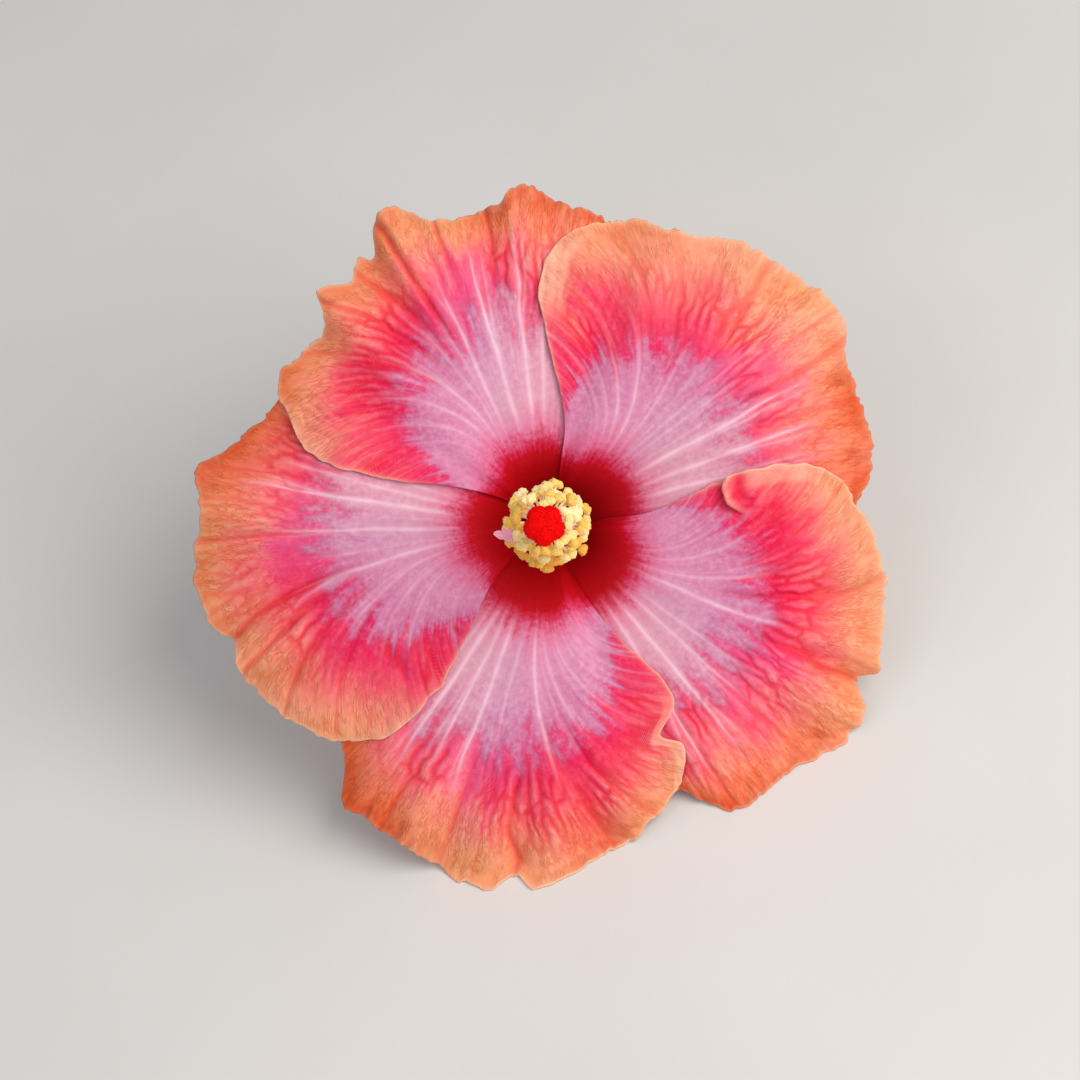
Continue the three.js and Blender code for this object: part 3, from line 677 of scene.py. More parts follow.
def makePetal(index):
    petal = petals[index]
    seed = 20 + index
    claw, full = petalShape["clawRadius"], petalShape["fullRadius"]
    obj, across, along = addGrid(petal["name"] + "_blade", petalShape["columns"], petalShape["rows"])
    mesh = obj.data

    # rows are evenly spaced along the profile
    steps = np.linspace(claw, full, 400)
    walked = np.concatenate(([0], np.cumsum(np.hypot(np.diff(steps), np.diff(petalHeightAt(steps))))))
    share = (np.interp(along * walked[-1], walked, steps) - claw) / (full - claw)

    def radiusAt(angle):
        return mix(claw, petal["marginAt"](angle), share)

    endRadius = radiusAt(petal["margin"][0][0])
    top = petal["edgeAt"](endRadius)
    for at, halfWidth, depth in petal.get("notches", []):
        top = top - np.degrees(depth * bell(endRadius - at, halfWidth) / endRadius)
    bottom = lowerEdgeAt(radiusAt(petal["margin"][-1][0]))
    angle = mix(top, bottom, across)
    radius = radiusAt(angle)
    skin = petalSkin(index, radius, angle)
    skin["fromAxis"] = radius

    # how near a point is to the margin and to both edges, in millimetres
    fromMargin = petal["marginAt"](angle) - radius
    fromEdge = np.radians(top - angle) * radius
    fromLower = np.radians(angle - bottom) * radius
    outside = smoothstep(radius, 24, 46)
    side = smoothstep(angle, -22, 14)

    # a frilled and crinkled rim
    label = skin["label"]
    rim = np.exp(-np.minimum(fromMargin, fromEdge) / 6) * outside * smoothstep(angle, -30, -22)
    frill = 0.9 * noise(label * 0.42, radius / 30, seed + 1) + 0.5 * noise(label * 1.1, radius / 16, seed + 2)
    height = resting(index, radius, angle, skin["height"] + petalShape["frill"] * rim * frill)
    crinkle = 0.5 * noise(angle * 0.55, 0, seed + 4) + 0.42 * noise(angle * 1.3, 0, seed + 5) - 0.25
    edgeCrinkle = 0.5 * noise(radius * 0.16, 0, seed + 6) + 0.35 * noise(radius * 0.5, 0, seed + 7)
    angle = angle + np.degrees(outside * np.exp(-fromEdge / 3) * edgeCrinkle / radius)
    radius, height, lip, crimsonAndPaintedShade = pleated(petal, radius, height, fromEdge)
    # the puckers are painted crimson and darker: partly their colour, partly painted shade
    crimsonAndPaintedShade = np.maximum(crimsonAndPaintedShade, skin["pucker"])
    radius = radius + np.exp(-fromMargin / 3) * crinkle
    turn = np.radians(petal["middle"] + angle)
    x, y = radius * np.cos(turn), radius * np.sin(turn)
    setPlaces(obj, x, y, np.maximum(height, restingHeight(x, y)))

    tints = petalTints(petal, seed, skin, angle, radius, fromMargin, fromEdge, fromLower, side, lip, crimsonAndPaintedShade)
    tints["fanLabel"] = label + 200 * index  # so that no two petals have the same streaks
    for name, values in tints.items():
        setFloats(obj, name, values)
    uvMap = mesh.uv_layers.new(name="petal")  # the petal laid flat
    corners = np.empty(len(mesh.loops), np.int32)
    mesh.loops.foreach_get("vertex_index", corners)
    flat = np.stack((np.radians(angle) * radius + 100, radius), 1)[corners] / 200
    uvMap.data.foreach_set("uv", flat.astype(np.float32).ravel())

    # the blade gets its thickness, thinner towards the rim
    thickness = mix(1, petalShape["marginThickness"], smoothstep(radius, 8, 60))
    group = obj.vertex_groups.new(name="thickness")
    for vertex, weight in enumerate(thickness.tolist()):
        group.add([vertex], weight, "REPLACE")
    for material in (petalFront, petalBack):
        mesh.materials.append(material)
    addModifier(
        obj, "SOLIDIFY", thickness=petalShape["thickness"], offset=0, vertex_group="thickness",
        material_offset=1, material_offset_rim=0,
    )
    applyModifiers(obj)
    finishPiece(obj, petal["name"], "petal")


column = {
    "bend": (-1.2, -0.4, 105.0),  # how far it has bent aside at a height, and that height
    "outside": [(3.4, 1.5), (3.45, 4), (2.9, 9), (2.45, 18), (2.3, 40), (2, 70), (1.75, 92), (1.35, 96)],
    "inside": [(1.02, 96), (1.02, 70), (1.02, 40), (1.02, 11), (1.6, 9), (2.75, 6), (2.8, 1.5)],
    "stamens": 56,
    "from": 63.0,
    "to": 93.5,
    "goldenAngle": 137.508,
    "filament": (0.4, 0.3),  # radius at its root and at its tip
    "filamentLength": 7.0,
    "anther": (2.1, 3.0, 2.1),  # thickness, length round the column, height
    "grains": 115,  # of pollen on each anther
    "tongueThickness": 0.32,
    "tongues": [  # stamens that grew into small pink tongues
        {"angles": (214, 189), "height": 85.5, "length": 10.0, "width": 3.2},
        {"angles": (-8, -13), "height": 85.0, "length": 7.5, "width": 1.7},
    ],
}
columnRadiusAt = curveThrough([(z, r) for r, z in column["outside"]])


def bendAside(obj):
    asideX, asideY, height = column["bend"]
    x, y, z = getPlaces(obj)
    setPlaces(obj, x + asideX * (z / height) ** 2, y + asideY * (z / height) ** 2, z)


def makeTube():
    top = column["outside"][-1][1]
    foot = column["outside"][0][1]
    bm = bmesh.new()
    outer = [(float(columnRadiusAt(z)), float(z)) for z in np.linspace(foot, top, 150)]
    addTurned(bm, outer + column["inside"], 40, closed=True)
    obj = addMesh("column_tube", bm)

    # five soft ridges, and five small teeth round the top
    x, y, z = getPlaces(obj)
    turn = np.arctan2(y, x)
    ridge = 1 + 0.035 * np.cos(5 * turn) * smoothstep(np.hypot(x, y), 1.1, 1.6)
    setPlaces(obj, x * ridge, y * ridge, z + 0.45 * np.cos(5 * turn + 0.7) * smoothstep(z, top - 1, top))
    setFloats(obj, "height", getPlaces(obj)[2])
    bendAside(obj)
    finishPiece(obj, "staminal_column", "column", tubeSkin)


def stamenPlaces():
    # where each stamen has its root and tip, and how its anther is turned
    for number in range(column["stamens"]):
        share = number / (column["stamens"] - 1)
        angle = number * column["goldenAngle"]
        angle += 5 * math.sin(math.radians(angle * 6 + 40))
        z = mix(column["from"], column["to"], share ** 0.85)
        length = column["filamentLength"] * (0.86 + 0.14 * math.sin(number * 4.1)) * mix(1.06, 0.82, share)
        climb = mix(0.06, 0.85, share ** 1.8) + 0.12 * math.sin(number * 1.7)
        wall = float(columnRadiusAt(z))
        root = polar(wall - 0.3, angle, z)
        tip = polar(wall + length * math.cos(climb), angle, z + length * math.sin(climb))
        turned = (
            Matrix.Rotation(math.radians(angle), 4, "Z") @ Matrix.Rotation(-climb, 4, "Y")
            @ Matrix.Rotation(number * 0.9, 4, "X")
        )
        yield number, root, tip, Matrix.Translation(tip) @ turned


def makeFilaments():
    paths = []
    for number, root, tip, _ in stamenPlaces():
        rng = random.Random(900 + number)
        sag = Vector((rng.uniform(-0.3, 0.3), rng.uniform(-0.3, 0.3), rng.uniform(-0.5, 0.1)))
        path = []
        for t in (k / 8 for k in range(9)):
            radius = mix(*column["filament"], t) * (1 + 0.25 * max(0, 1 - 6 * t))  # wider at its root
            path.append((*(root.lerp(tip, t) + sag * math.sin(math.pi * t)), radius))
        paths.append(path)
    obj = addTubes("filaments", paths, 2)
    bendAside(obj)
    finishPiece(obj, "staminal_column", "column", filamentSkin)


def antherShapes(seed):
    # two lobes that have burst open, and the pollen grains that cover them
    rng = random.Random(seed)
    thick, long, high = column["anther"]
    lobes = bmesh.new()
    for side in (-1, 1):
        place = Matrix.Translation((0.1 * thick, side * 0.22 * long, 0.08 * side * high))
        turned = Matrix.Rotation(side * rng.uniform(0.3, 0.9), 4, "X")
        turned = turned @ Matrix.Rotation(rng.uniform(-0.4, 0.4), 4, "Z")
        flat = Matrix.Diagonal((thick * 0.4, long * 0.3, high * 0.5, 1))
        bmesh.ops.create_icosphere(lobes, subdivisions=4, radius=1, matrix=place @ turned @ flat)
    for vertex in lobes.verts:
        for height, waves in ((0.3, 0.9), (0.09, 3)):
            vertex.co *= 1 + height * solidNoise.noise(vertex.co * waves + Vector((seed, 0, 0)))
    bmesh.ops.recalc_face_normals(lobes, faces=lobes.faces)
    body = bpy.data.meshes.new("anther")
    lobes.to_mesh(body)
    lobes.free()
    grains = bmesh.new()
    for point, normal in scatter(body, column["grains"], seed):
        size = rng.uniform(0.06, 0.105)
        place = Matrix.Translation(point + normal * size * 0.4)
        bmesh.ops.create_icosphere(grains, subdivisions=1, radius=size, matrix=place)
    pollen = bpy.data.meshes.new("pollen")
    grains.to_mesh(pollen)
    grains.free()
    return body, pollen


def makeAnthers():
    variants = [antherShapes(seed) for seed in (41, 42, 43, 44)]
    for part, name, skin in ((0, "anthers", antherSkin), (1, "pollen", pollenSkin)):
        bm = bmesh.new()
        shades = []
        for number, _, tip, place in stamenPlaces():
            one = variants[number % len(variants)][part].copy()
            one.transform(place @ Matrix.Scale(1.02 + 0.14 * float(chance(number, 1, 5)), 4))
            bm.from_mesh(one)
            # each anther's own tint at random, plus painted light: the ones towards +Y are paler
            shade = 0.6 + 0.018 * tip.y + 0.55 * (float(chance(number, 2, 6)) - 0.5)
            shades += [shade] * len(one.vertices)
            bpy.data.meshes.remove(one)
        obj = addMesh(name, bm)
        setFloats(obj, "shade", shades)
        bendAside(obj)
        finishPiece(obj, "staminal_column", "column", skin)
    for mesh in sum(variants, ()):
        bpy.data.meshes.remove(mesh)


def makeTongues():
    for number, tongue in enumerate(column["tongues"]):
        obj, across, along = addGrid("tongue_%d" % (number + 1), 20, 48)
        across = across * 2 - 1
        half = tongue["width"] / 2 * (0.25 + 0.75 * np.abs(np.sin(math.pi * along * 0.94)) ** 0.8)
        half = half * np.sqrt(np.clip(1.02 - along ** 5, 0, 1))
        half = half * (1 + 0.3 * along * noise(along * 11, across + 5, 58 + number))
        sideways = -across * half * (1 + 0.08 * noise(along * 9, across * 2, 60 + number))
        reach = 1.2 + tongue["length"] * along
        height = tongue["height"] + 1.6 * along + 0.5 * across ** 2 * along
        height = height + 0.16 * noise(along * 7, across * 3, 61 + number) * along
        turn = np.radians(mix(*tongue["angles"], along))
        x = reach * np.cos(turn) - sideways * np.sin(turn)
        y = reach * np.sin(turn) + sideways * np.cos(turn)
        setPlaces(obj, x, y, height)
        setFloats(obj, "along", along)
        addModifier(obj, "SOLIDIFY", thickness=column["tongueThickness"], offset=0)
        applyModifiers(obj)
        bendAside(obj)
        finishPiece(obj, "staminal_column", "column", tongueSkin)


pistil = {
    "profile": [
        (0, 1.25), (1.7, 1.3), (2.4, 2.8), (2.35, 4.6), (1.5, 7.2), (0.68, 10), (0.66, 40), (0.66, 70),
        (0.7, 97), (0.95, 98.6), (0, 99.4),
    ],
    "stigmas": 5,
    "firstAngle": -90.0,
    "spread": 2.0,
    "fork": 98.4,  # height where the style parts into branches
    "elbow": 101.4,  # height where the branches bend
    "height": 104.6,
    "padRadius": 2.42,
    "branchRadius": 0.5,
    "papillae": 2600,  # knobs of the velvet
}


def makePistil():
    bm = bmesh.new()
    addTurned(bm, pistil["profile"], 28)
    style = addMesh("style", bm)
    bendAside(style)
    finishPiece(style, "pistil", "pistil", styleSkin)

    angles = [pistil["firstAngle"] + 360 * k / pistil["stigmas"] for k in range(pistil["stigmas"])]
    fork = Vector((0, 0, pistil["fork"]))
    paths = []
    for angle in angles:
        elbow = polar(pistil["spread"] * 0.55, angle, pistil["elbow"])
        pad = polar(pistil["spread"], angle, pistil["height"])
        points = [fork.lerp(elbow, t) for t in (0, 0.35, 0.7, 1)]
        points += [elbow.lerp(pad, t) for t in (0.33, 0.66, 1)]
        paths.append([(*point, pistil["branchRadius"]) for point in points])
    branches = addTubes("stigma_branches", paths, 3)
    bendAside(branches)
    finishPiece(branches, "pistil", "pistil", styleSkin)

    # five velvety pads that press against each other
    bm = bmesh.new()
    places = [
        Matrix.Translation(polar(pistil["spread"], angle, pistil["height"]))
        @ Matrix.Rotation(math.radians(angle), 4, "Z") @ Matrix.Rotation(0.25, 4, "Y")
        @ Matrix.Diagonal((1, 1, 0.72, 1))
        for angle in angles
    ]
    places.append(Matrix.Translation((0, 0, pistil["height"] - 0.1)) @ Matrix.Diagonal((1, 1, 0.78, 1)))
    for number, place in enumerate(places):
        radius = pistil["padRadius"] - (0.1 if number < len(angles) else 0.2)
        bmesh.ops.create_uvsphere(bm, u_segments=40, v_segments=24, radius=radius, matrix=place)
    for vertex in bm.verts:
        vertex.co += vertex.co.normalized() * 0.1 * solidNoise.noise(vertex.co * 1.3)
    pads = addMesh("stigmas", bm)
    addModifier(pads, "REMESH", mode="VOXEL", voxel_size=0.16, use_smooth_shade=True)
    addModifier(pads, "SMOOTH", factor=0.6, iterations=5)
    applyModifiers(pads)
    rng = random.Random(77)
    bm = bmesh.new()
    for point, normal in scatter(pads.data, pistil["papillae"], 78):
        size = rng.uniform(0.07, 0.12)
        lean = (normal + Vector((rng.uniform(-0.3, 0.3), rng.uniform(-0.3, 0.3), 0.1))).normalized()
        place = standing(point + lean * 0.1, lean) @ Matrix.Diagonal((1, 1, 1.7, 1))
        bmesh.ops.create_icosphere(bm, subdivisions=1, radius=size, matrix=place)
    papillae = addMesh("stigma_papillae", bm)
    for obj in (pads, papillae):
        bendAside(obj)
        finishPiece(obj, "pistil", "pistil", stigmaSkin)


def addHairs(name, source, count, seed, length, node, slot):
    # short pale hairs that stand off a green surface, but none that would reach into the table
    rng = random.Random(seed)
    bm = bmesh.new()
    for point, normal in scatter(source.data, count, seed):
        aside = Vector((rng.uniform(-1, 1), rng.uniform(-1, 1), rng.uniform(-1, 1)))
        lean = (normal + 0.35 * aside).normalized()
        size = length * rng.uniform(0.6, 1.1)
        tip = point + lean * size
        if tip.z < tableHeight(tip.x, tip.y):
            continue
        place = standing(point + lean * size * 0.45, lean)
        bmesh.ops.create_cone(
            bm, cap_ends=True, segments=3, radius1=0.035, radius2=0.004, depth=size, matrix=place,
        )
    finishPiece(addMesh(name, bm), node, slot, hairSkin)


calyx = {
    "wall": 0.7,
    "lobes": 5,
    "sinus": 0.62,  # share of its length at which the lobes part
    "profile": [
        (2.75, 0.5), (4.6, 0.6), (5.6, 2.6), (6.05, 8), (7.25, 14.5), (9.4, 20), (12.6, 24.6), (16.4, 27.2),
    ],
    "ribs": 0.22,
    "hairs": 900,
    "hairLength": 0.55,
}


def makeCalyx():
    obj, turns, upwards = addGrid("calyx_bell", 240, 50)
    radiusOf, heightOf = curvesAlong(calyx["profile"])
    fromLobe = np.abs((turns * calyx["lobes"]) % 1 - 0.5) * 2
    share = upwards * mix(calyx["sinus"], 1, fromLobe ** 1.25)
    # a midrib and two side ribs run up each lobe
    rib = bell(1 - fromLobe, 0.07) + 0.7 * bell(fromLobe - 0.55, 0.06) + 0.5 * bell(fromLobe, 0.06)
    radius = radiusOf(share) + calyx["ribs"] * rib * smoothstep(share, 0.12, 0.35) * (1 - 0.6 * share)
    radius = radius + 0.1 * noise(turns * 60, share * 18, 91)
    turn = -2 * math.pi * turns
    setPlaces(obj, radius * np.cos(turn), radius * np.sin(turn), heightOf(share))
    setFloats(obj, "rib", rib)
    bm = bmesh.new()
    bm.from_mesh(obj.data)
    joinFaces(bm, 1e-3)
    bm.to_mesh(obj.data)
    bm.free()
    addModifier(obj, "SOLIDIFY", thickness=calyx["wall"], offset=0)
    applyModifiers(obj)
    addHairs("calyx_hairs", obj, calyx["hairs"], 92, calyx["hairLength"], "calyx", "leafy_green")
    finishPiece(obj, "calyx", "leafy_green", leafySkin)


bracts = {
    "count": 7,
    "width": 2.4,
    "thickness": 0.55,
    "path": [(3.7, -1.5), (5.9, -0.9), (7.3, 1.4), (8.1, 4.6), (9.5, 8.2), (12.2, 11.4)],
    "collar": [(3.15, -2.6), (4.1, -2.4), (4.3, -1.3), (4, -0.45), (2.9, -0.4), (2.75, -1.4)],
    "hairs": 500,
    "hairLength": 0.5,
}


def makeBracts():
    radiusOf, heightOf = curvesAlong(bracts["path"])
    for number in range(bracts["count"]):
        obj, across, along = addGrid("bract_%d" % (number + 1), 14, 44)
        across = across * 2 - 1
        half = bracts["width"] / 2 * (0.34 + 0.66 * np.sin(math.pi * (0.22 + 0.72 * along)))
        half = half * (1 - 0.6 * along ** 6)
        radius = radiusOf(along) - 0.22 * across ** 2 * (1 - along) + 0.06 * bell(across, 0.2)
        sideways = -across * half
        turn = 2 * math.pi * number / bracts["count"]
        x = radius * math.cos(turn) - sideways * math.sin(turn)
        y = radius * math.sin(turn) + sideways * math.cos(turn)
        setPlaces(obj, x, y, heightOf(along) + 0.05 * noise(along * 12, across * 2, 95 + number))
        setFloats(obj, "rib", bell(across, 0.22))
        addModifier(obj, "SOLIDIFY", thickness=bracts["thickness"], offset=0)
        applyModifiers(obj)
        addHairs(
            "bract_hairs_%d" % (number + 1), obj, bracts["hairs"] // bracts["count"], 100 + number,
            bracts["hairLength"], "epicalyx", "leafy_green",
        )
        finishPiece(obj, "epicalyx", "leafy_green", leafySkin)
    bm = bmesh.new()
    addTurned(bm, bracts["collar"], 56, closed=True)
    collar = addMesh("bract_collar", bm)
    addModifier(collar, "BEVEL", width=0.2, segments=3, limit_method="ANGLE")
    applyModifiers(collar)
    setFloats(collar, "rib", np.zeros(len(collar.data.vertices)))
    finishPiece(collar, "epicalyx", "leafy_green", leafySkin)


stalk = {
    "profile": [
        (1.25, -28), (1.3, -20), (1.35, -13.6), (1.75, -12.6), (1.75, -11.8), (1.4, -11), (1.5, -6),
        (2.2, -2.7), (2.4, -1.4), (2.4, -0.3), (2.4, 0.9),
    ],
    "joint": -12.2,  # height of the joint where the flower later drops
    "hairs": 350,
    "hairLength": 0.45,
}


def makeStalk():
    radiusOf = curveThrough([(z, r) for r, z in stalk["profile"]])
    low, high = stalk["profile"][0][1], stalk["profile"][-1][1]
    bm = bmesh.new()
    side = [(float(radiusOf(z)), float(z)) for z in np.linspace(low + 0.12, high, 160)]
    addTurned(bm, [(radius, low) for radius in (0, 0.4, 0.8, 1.15)] + side + [(0, high)], 36)
    obj = addMesh("stalk_skin", bm)
    x, y, z = getPlaces(obj)
    cut = z < low + 0.01
    setFloats(obj, "cut", cut)
    setFloats(obj, "joint", bell(z - stalk["joint"], 0.9))

    # slightly ribbed and uneven, bent to its cut end, which lies flat on the table
    turn = np.arctan2(y, x)
    grown = 1 + 0.03 * np.cos(7 * turn) * smoothstep(z, low + 0.1, low + 2)
    grown = grown + 0.03 * noise(turn * 6, z * 1.2, 97)
    bend = np.clip(-z / lying["stalkLength"], 0, 1) ** 2
    x, y = x * grown + stalkEnd.x * bend, y * grown + stalkEnd.y * bend
    setPlaces(obj, x, y, np.where(cut, tableHeight(x, y), np.maximum(z, tableHeight(x, y) + 0.1)))
    addHairs("stalk_hairs", obj, stalk["hairs"], 98, stalk["hairLength"], "stalk", "stalk")
    finishPiece(obj, "stalk", "stalk", stalkSkin)


def hexColour(text):
    # an sRGB hex value as linear red, green, blue, alpha
    parts = [int(text[i:i + 2], 16) / 255 for i in (1, 3, 5)]
    return tuple(p / 12.92 if p <= 0.04045 else ((p + 0.055) / 1.055) ** 2.4 for p in parts) + (1.0,)


def feed(socket, value):
    # an input takes another node's output, a number or a hex colour
    if isinstance(value, bpy.types.NodeSocket):
        socket.id_data.links.new(value, socket)
    else:
        socket.default_value = hexColour(value) if isinstance(value, str) else value


def addNode(material, kind, *feeds, output=None, stops=(), **settings):
    # Feeds go to the node's inputs in order. Settings are its own, or inputs by name. Stops are the places on
    # a colour ramp, each with a hex colour or a shade. It gives back one output, the first or the named one.
    node = material.node_tree.nodes.new("ShaderNode" + kind)
    for name, value in settings.items():
        if hasattr(node, name):
            setattr(node, name, value)
        else:
            feed(node.inputs[name], value)
    for socket, value in zip([socket for socket in node.inputs if socket.enabled], feeds):
        feed(socket, value)
    if stops:
        elements = node.color_ramp.elements
        while len(elements) < len(stops):
            elements.new(0.5)
        for element, (place, colour) in zip(elements, stops):
            element.position = place
            element.color = hexColour(colour) if isinstance(colour, str) else (colour, colour, colour, 1)
    return node.outputs[output] if output else next(socket for socket in node.outputs if socket.enabled)


def newMaterial(name):
    # a material, and the function that adds its nodes
    material = bpy.data.materials.new(name)
    material.use_nodes = True
    return material, partial(addNode, material)


def finishMaterial(material, **inputs):
    shader = material.node_tree.nodes["Principled BSDF"]
    for name, value in inputs.items():
        feed(shader.inputs[name.replace("_", " ")], value)
    return material


def makePetalMaterial(name, tints):
    # Living petal: thin moist tissue without gloss. Light that enters it spreads a little.
    material, add = newMaterial(name)
    zone, side, paintedFoldLight, creases, vein, pale, deep, rim, label, width, fromAxis = (
        add("Attribute", attribute_name=each, output="Fac")
        for each in (
            "zone", "upperSide", "paintedFoldLight", "creaseTintAndShade", "vein", "pale", "deep", "rim", "fanLabel", "fanWidth",
            "fromAxis",
        )
    )
    zone = add("Math", zone, 5.0, operation="DIVIDE")
    spot = add("TexCoord", output="Object")

    def streaks(acrossScale, alongScale, detail):
        across = add("Math", label, acrossScale, operation="MULTIPLY")
        along = add("Math", fromAxis, alongScale, operation="MULTIPLY")
        place = add("CombineXYZ", across, along)
        return add("TexNoise", place, noise_dimensions="2D", Scale=1.0, Detail=detail, Roughness=0.6)

    def wrinkles(cell, long):
        # how far it is to wavy lines along the veins, about one cell apart in every octave of the fan
        octave = add("Math", width, petalVeins["octaveWidth"], operation="DIVIDE")
        octave = add("Math", octave, 2.0, operation="LOGARITHM")
        level = add("Math", octave, operation="FLOOR")
        away = []
        for step in (0.0, 1.0):
            own = add("Math", level, step, operation="ADD")
            scale = add("Math", 2.0, own, operation="POWER")
            scale = add("Math", scale, petalVeins["octaveWidth"] / cell, operation="MULTIPLY")
            across = add("Math", label, scale, operation="MULTIPLY")
            along = add("Math", fromAxis, 1 / (cell * long), operation="MULTIPLY")
            place = add("CombineXYZ", across, along, add("Math", own, 3.7, operation="MULTIPLY"))
            wave = add("TexNoise", place, Scale=1.0, Detail=1.5, Roughness=0.6)
            away.append(add("Math", add("Math", wave, 0.5, operation="SUBTRACT"), operation="ABSOLUTE"))
        share = add("Math", octave, level, operation="SUBTRACT")
        share = add("MapRange", share, 0.25, 0.75, interpolation_type="SMOOTHSTEP")
        return add("Mix", share, *away)

    # the zones run into each other in feathery streaks along the veins, and in a fuzz of 1.1 mm
    wide = add("Math", streaks(0.3, 0.1, 2.0), 0.5, operation="SUBTRACT")
    narrow = add("Math", streaks(1.5, 0.3, 3.0), 0.5, operation="SUBTRACT")
    narrow = add("Math", narrow, 0.45, operation="MULTIPLY")
    feather = add("Math", add("Math", wide, 1.7, operation="MULTIPLY"), narrow, operation="ADD")
    reach = add("ValToRGB", zone, stops=[
        (0, 0.1), (0.19, 0.09), (0.24, 0.13), (0.32, 0.35), (0.4, 0.85), (0.62, 1.0), (1.0, 0.6),
    ])
    feather = add("Math", feather, reach, operation="MULTIPLY")
    coloured = add("Math", feather, 0.2, zone, operation="MULTIPLY_ADD")
    fuzz = add("TexNoise", spot, Scale=900.0, Detail=2.0, Roughness=0.6)
    fuzz = add("Math", fuzz, 0.5, operation="SUBTRACT")
    fuzzy = add("ValToRGB", zone, stops=[
        (0.12, 0.02), (0.19, 0.045), (0.23, 0.04), (0.3, 0.05), (0.36, 0.1), (0.48, 0.1), (0.6, 0.05),
    ])
    coloured = add("Math", fuzz, fuzzy, coloured, operation="MULTIPLY_ADD")
    colour = add("ValToRGB", coloured, stops=tints["lower"])
    for part, start in (("middle", 0.0), ("upper", 0.5)):
        share = add("MapRange", side, start, start + 0.5, 0.0, 1.0)
        tint = add("ValToRGB", coloured, stops=tints[part])
        colour = add("Mix", share, colour, tint, data_type="RGBA")

    # mottling of 1.3 mm, mostly in the halo
    grain = add("TexNoise", spot, Scale=760.0, Detail=3.0, Roughness=0.6)
    where = add("ValToRGB", zone, stops=[
        (0.19, 0.0), (0.23, 0.5), (0.28, 1.0), (0.38, 1.0), (0.46, 0.4), (0.9, 0.3),
    ])
    darker = add("ValToRGB", grain, stops=[(0.3, tints["mottle"]), (0.52, 0.0)])
    paler = add("ValToRGB", grain, stops=[(0.5, 0.0), (0.74, tints["mottle"] * 0.8)])
    # painted highlight on the crests of the folds, and painted shade in their hollows
    outer = add("ValToRGB", zone, stops=[(0.4, 0.0), (0.62, 1.0)])
    crest = add("MapRange", paintedFoldLight, 0.0, 0.9, 0.0, 0.38)
    hollow = add("MapRange", paintedFoldLight, 0.0, -0.9, 0.0, 0.5)
    # creases are the same colour, deeper, partly their own colour and partly painted shade, with a fine net
    # between them
    # the net's darker lines are partly the petal's own colour and partly painted shade
    nets = [
        add("MapRange", wrinkles(cell, long), 0.0, halfWidth, strong, 0.0, interpolation_type="SMOOTHSTEP")
        for cell, long, halfWidth, strong in ((0.95, 3.4, 0.09, 1.0), (1.5, 1.7, 0.04, 0.7))
    ]
    net = add("Math", *nets, operation="MAXIMUM")
    broken = add("ValToRGB", streaks(0.6, 0.2, 2.0), stops=[(0.36, 0.3), (0.54, 1.0)])
    strength = add("ValToRGB", zone, stops=[
        (0.36, 0.0), (0.44, 0.3), (0.55, 0.55), (0.7, 0.8), (0.9, 0.8), (1, 0.4),
    ])
    net = add("Math", add("Math", net, broken, operation="MULTIPLY"), strength, operation="MULTIPLY")

    # what lies over the zones' colours, from the lowest: where, how strongly, its colour, and how it blends
    for factor, strong, tint, blend in (
        (where, darker, "mottleColour", "MULTIPLY"),
        (where, paler, "veinColour", "MIX"),
        (outer, crest, "crestColour", "MIX"),
        (outer, hollow, "hollowColour", "MULTIPLY"),
        (creases, tints["crease"], "creaseColour", "MULTIPLY"),
        (net, tints["net"], "netColour", "MULTIPLY"),
        (vein, tints["vein"], "veinColour", "MIX"),
        (pale, 0.6, "paleColour", "MIX"),
        (deep, 0.75, "deepColour", "MIX"),
        (rim, 0.55, "rimColour", "MIX"),
    ):
        share = add("Math", factor, strong, operation="MULTIPLY")
        colour = add("Mix", share, colour, tints[tint], data_type="RGBA", blend_type=blend)

    # the skin is pillowed between the creases, with cells of 0.4 mm
    cells = add("TexNoise", spot, Scale=2400.0, Detail=2.0)
    lines = add("Math", creases, net, operation="MAXIMUM")
    skin = add("Math", cells, 0.18, add("Math", lines, -1.0, operation="MULTIPLY"), operation="MULTIPLY_ADD")
    relief = add("ValToRGB", zone, stops=[(0.2, 0.2), (0.42, 0.8), (0.9, 1.0)])
    relief = add("Math", skin, relief, operation="MULTIPLY")
    return finishMaterial(
        material, Base_Color=colour, Roughness=add("ValToRGB", grain, stops=[(0.3, 0.48), (0.7, 0.64)]),
        Normal=add("Bump", Height=relief, Strength=0.8, Distance=0.25 * millimetre), Specular_IOR_Level=0.1,
        Subsurface_Weight=0.1, Subsurface_Scale=1.2 * millimetre, Subsurface_Radius=(1.0, 0.4, 0.3),
    )
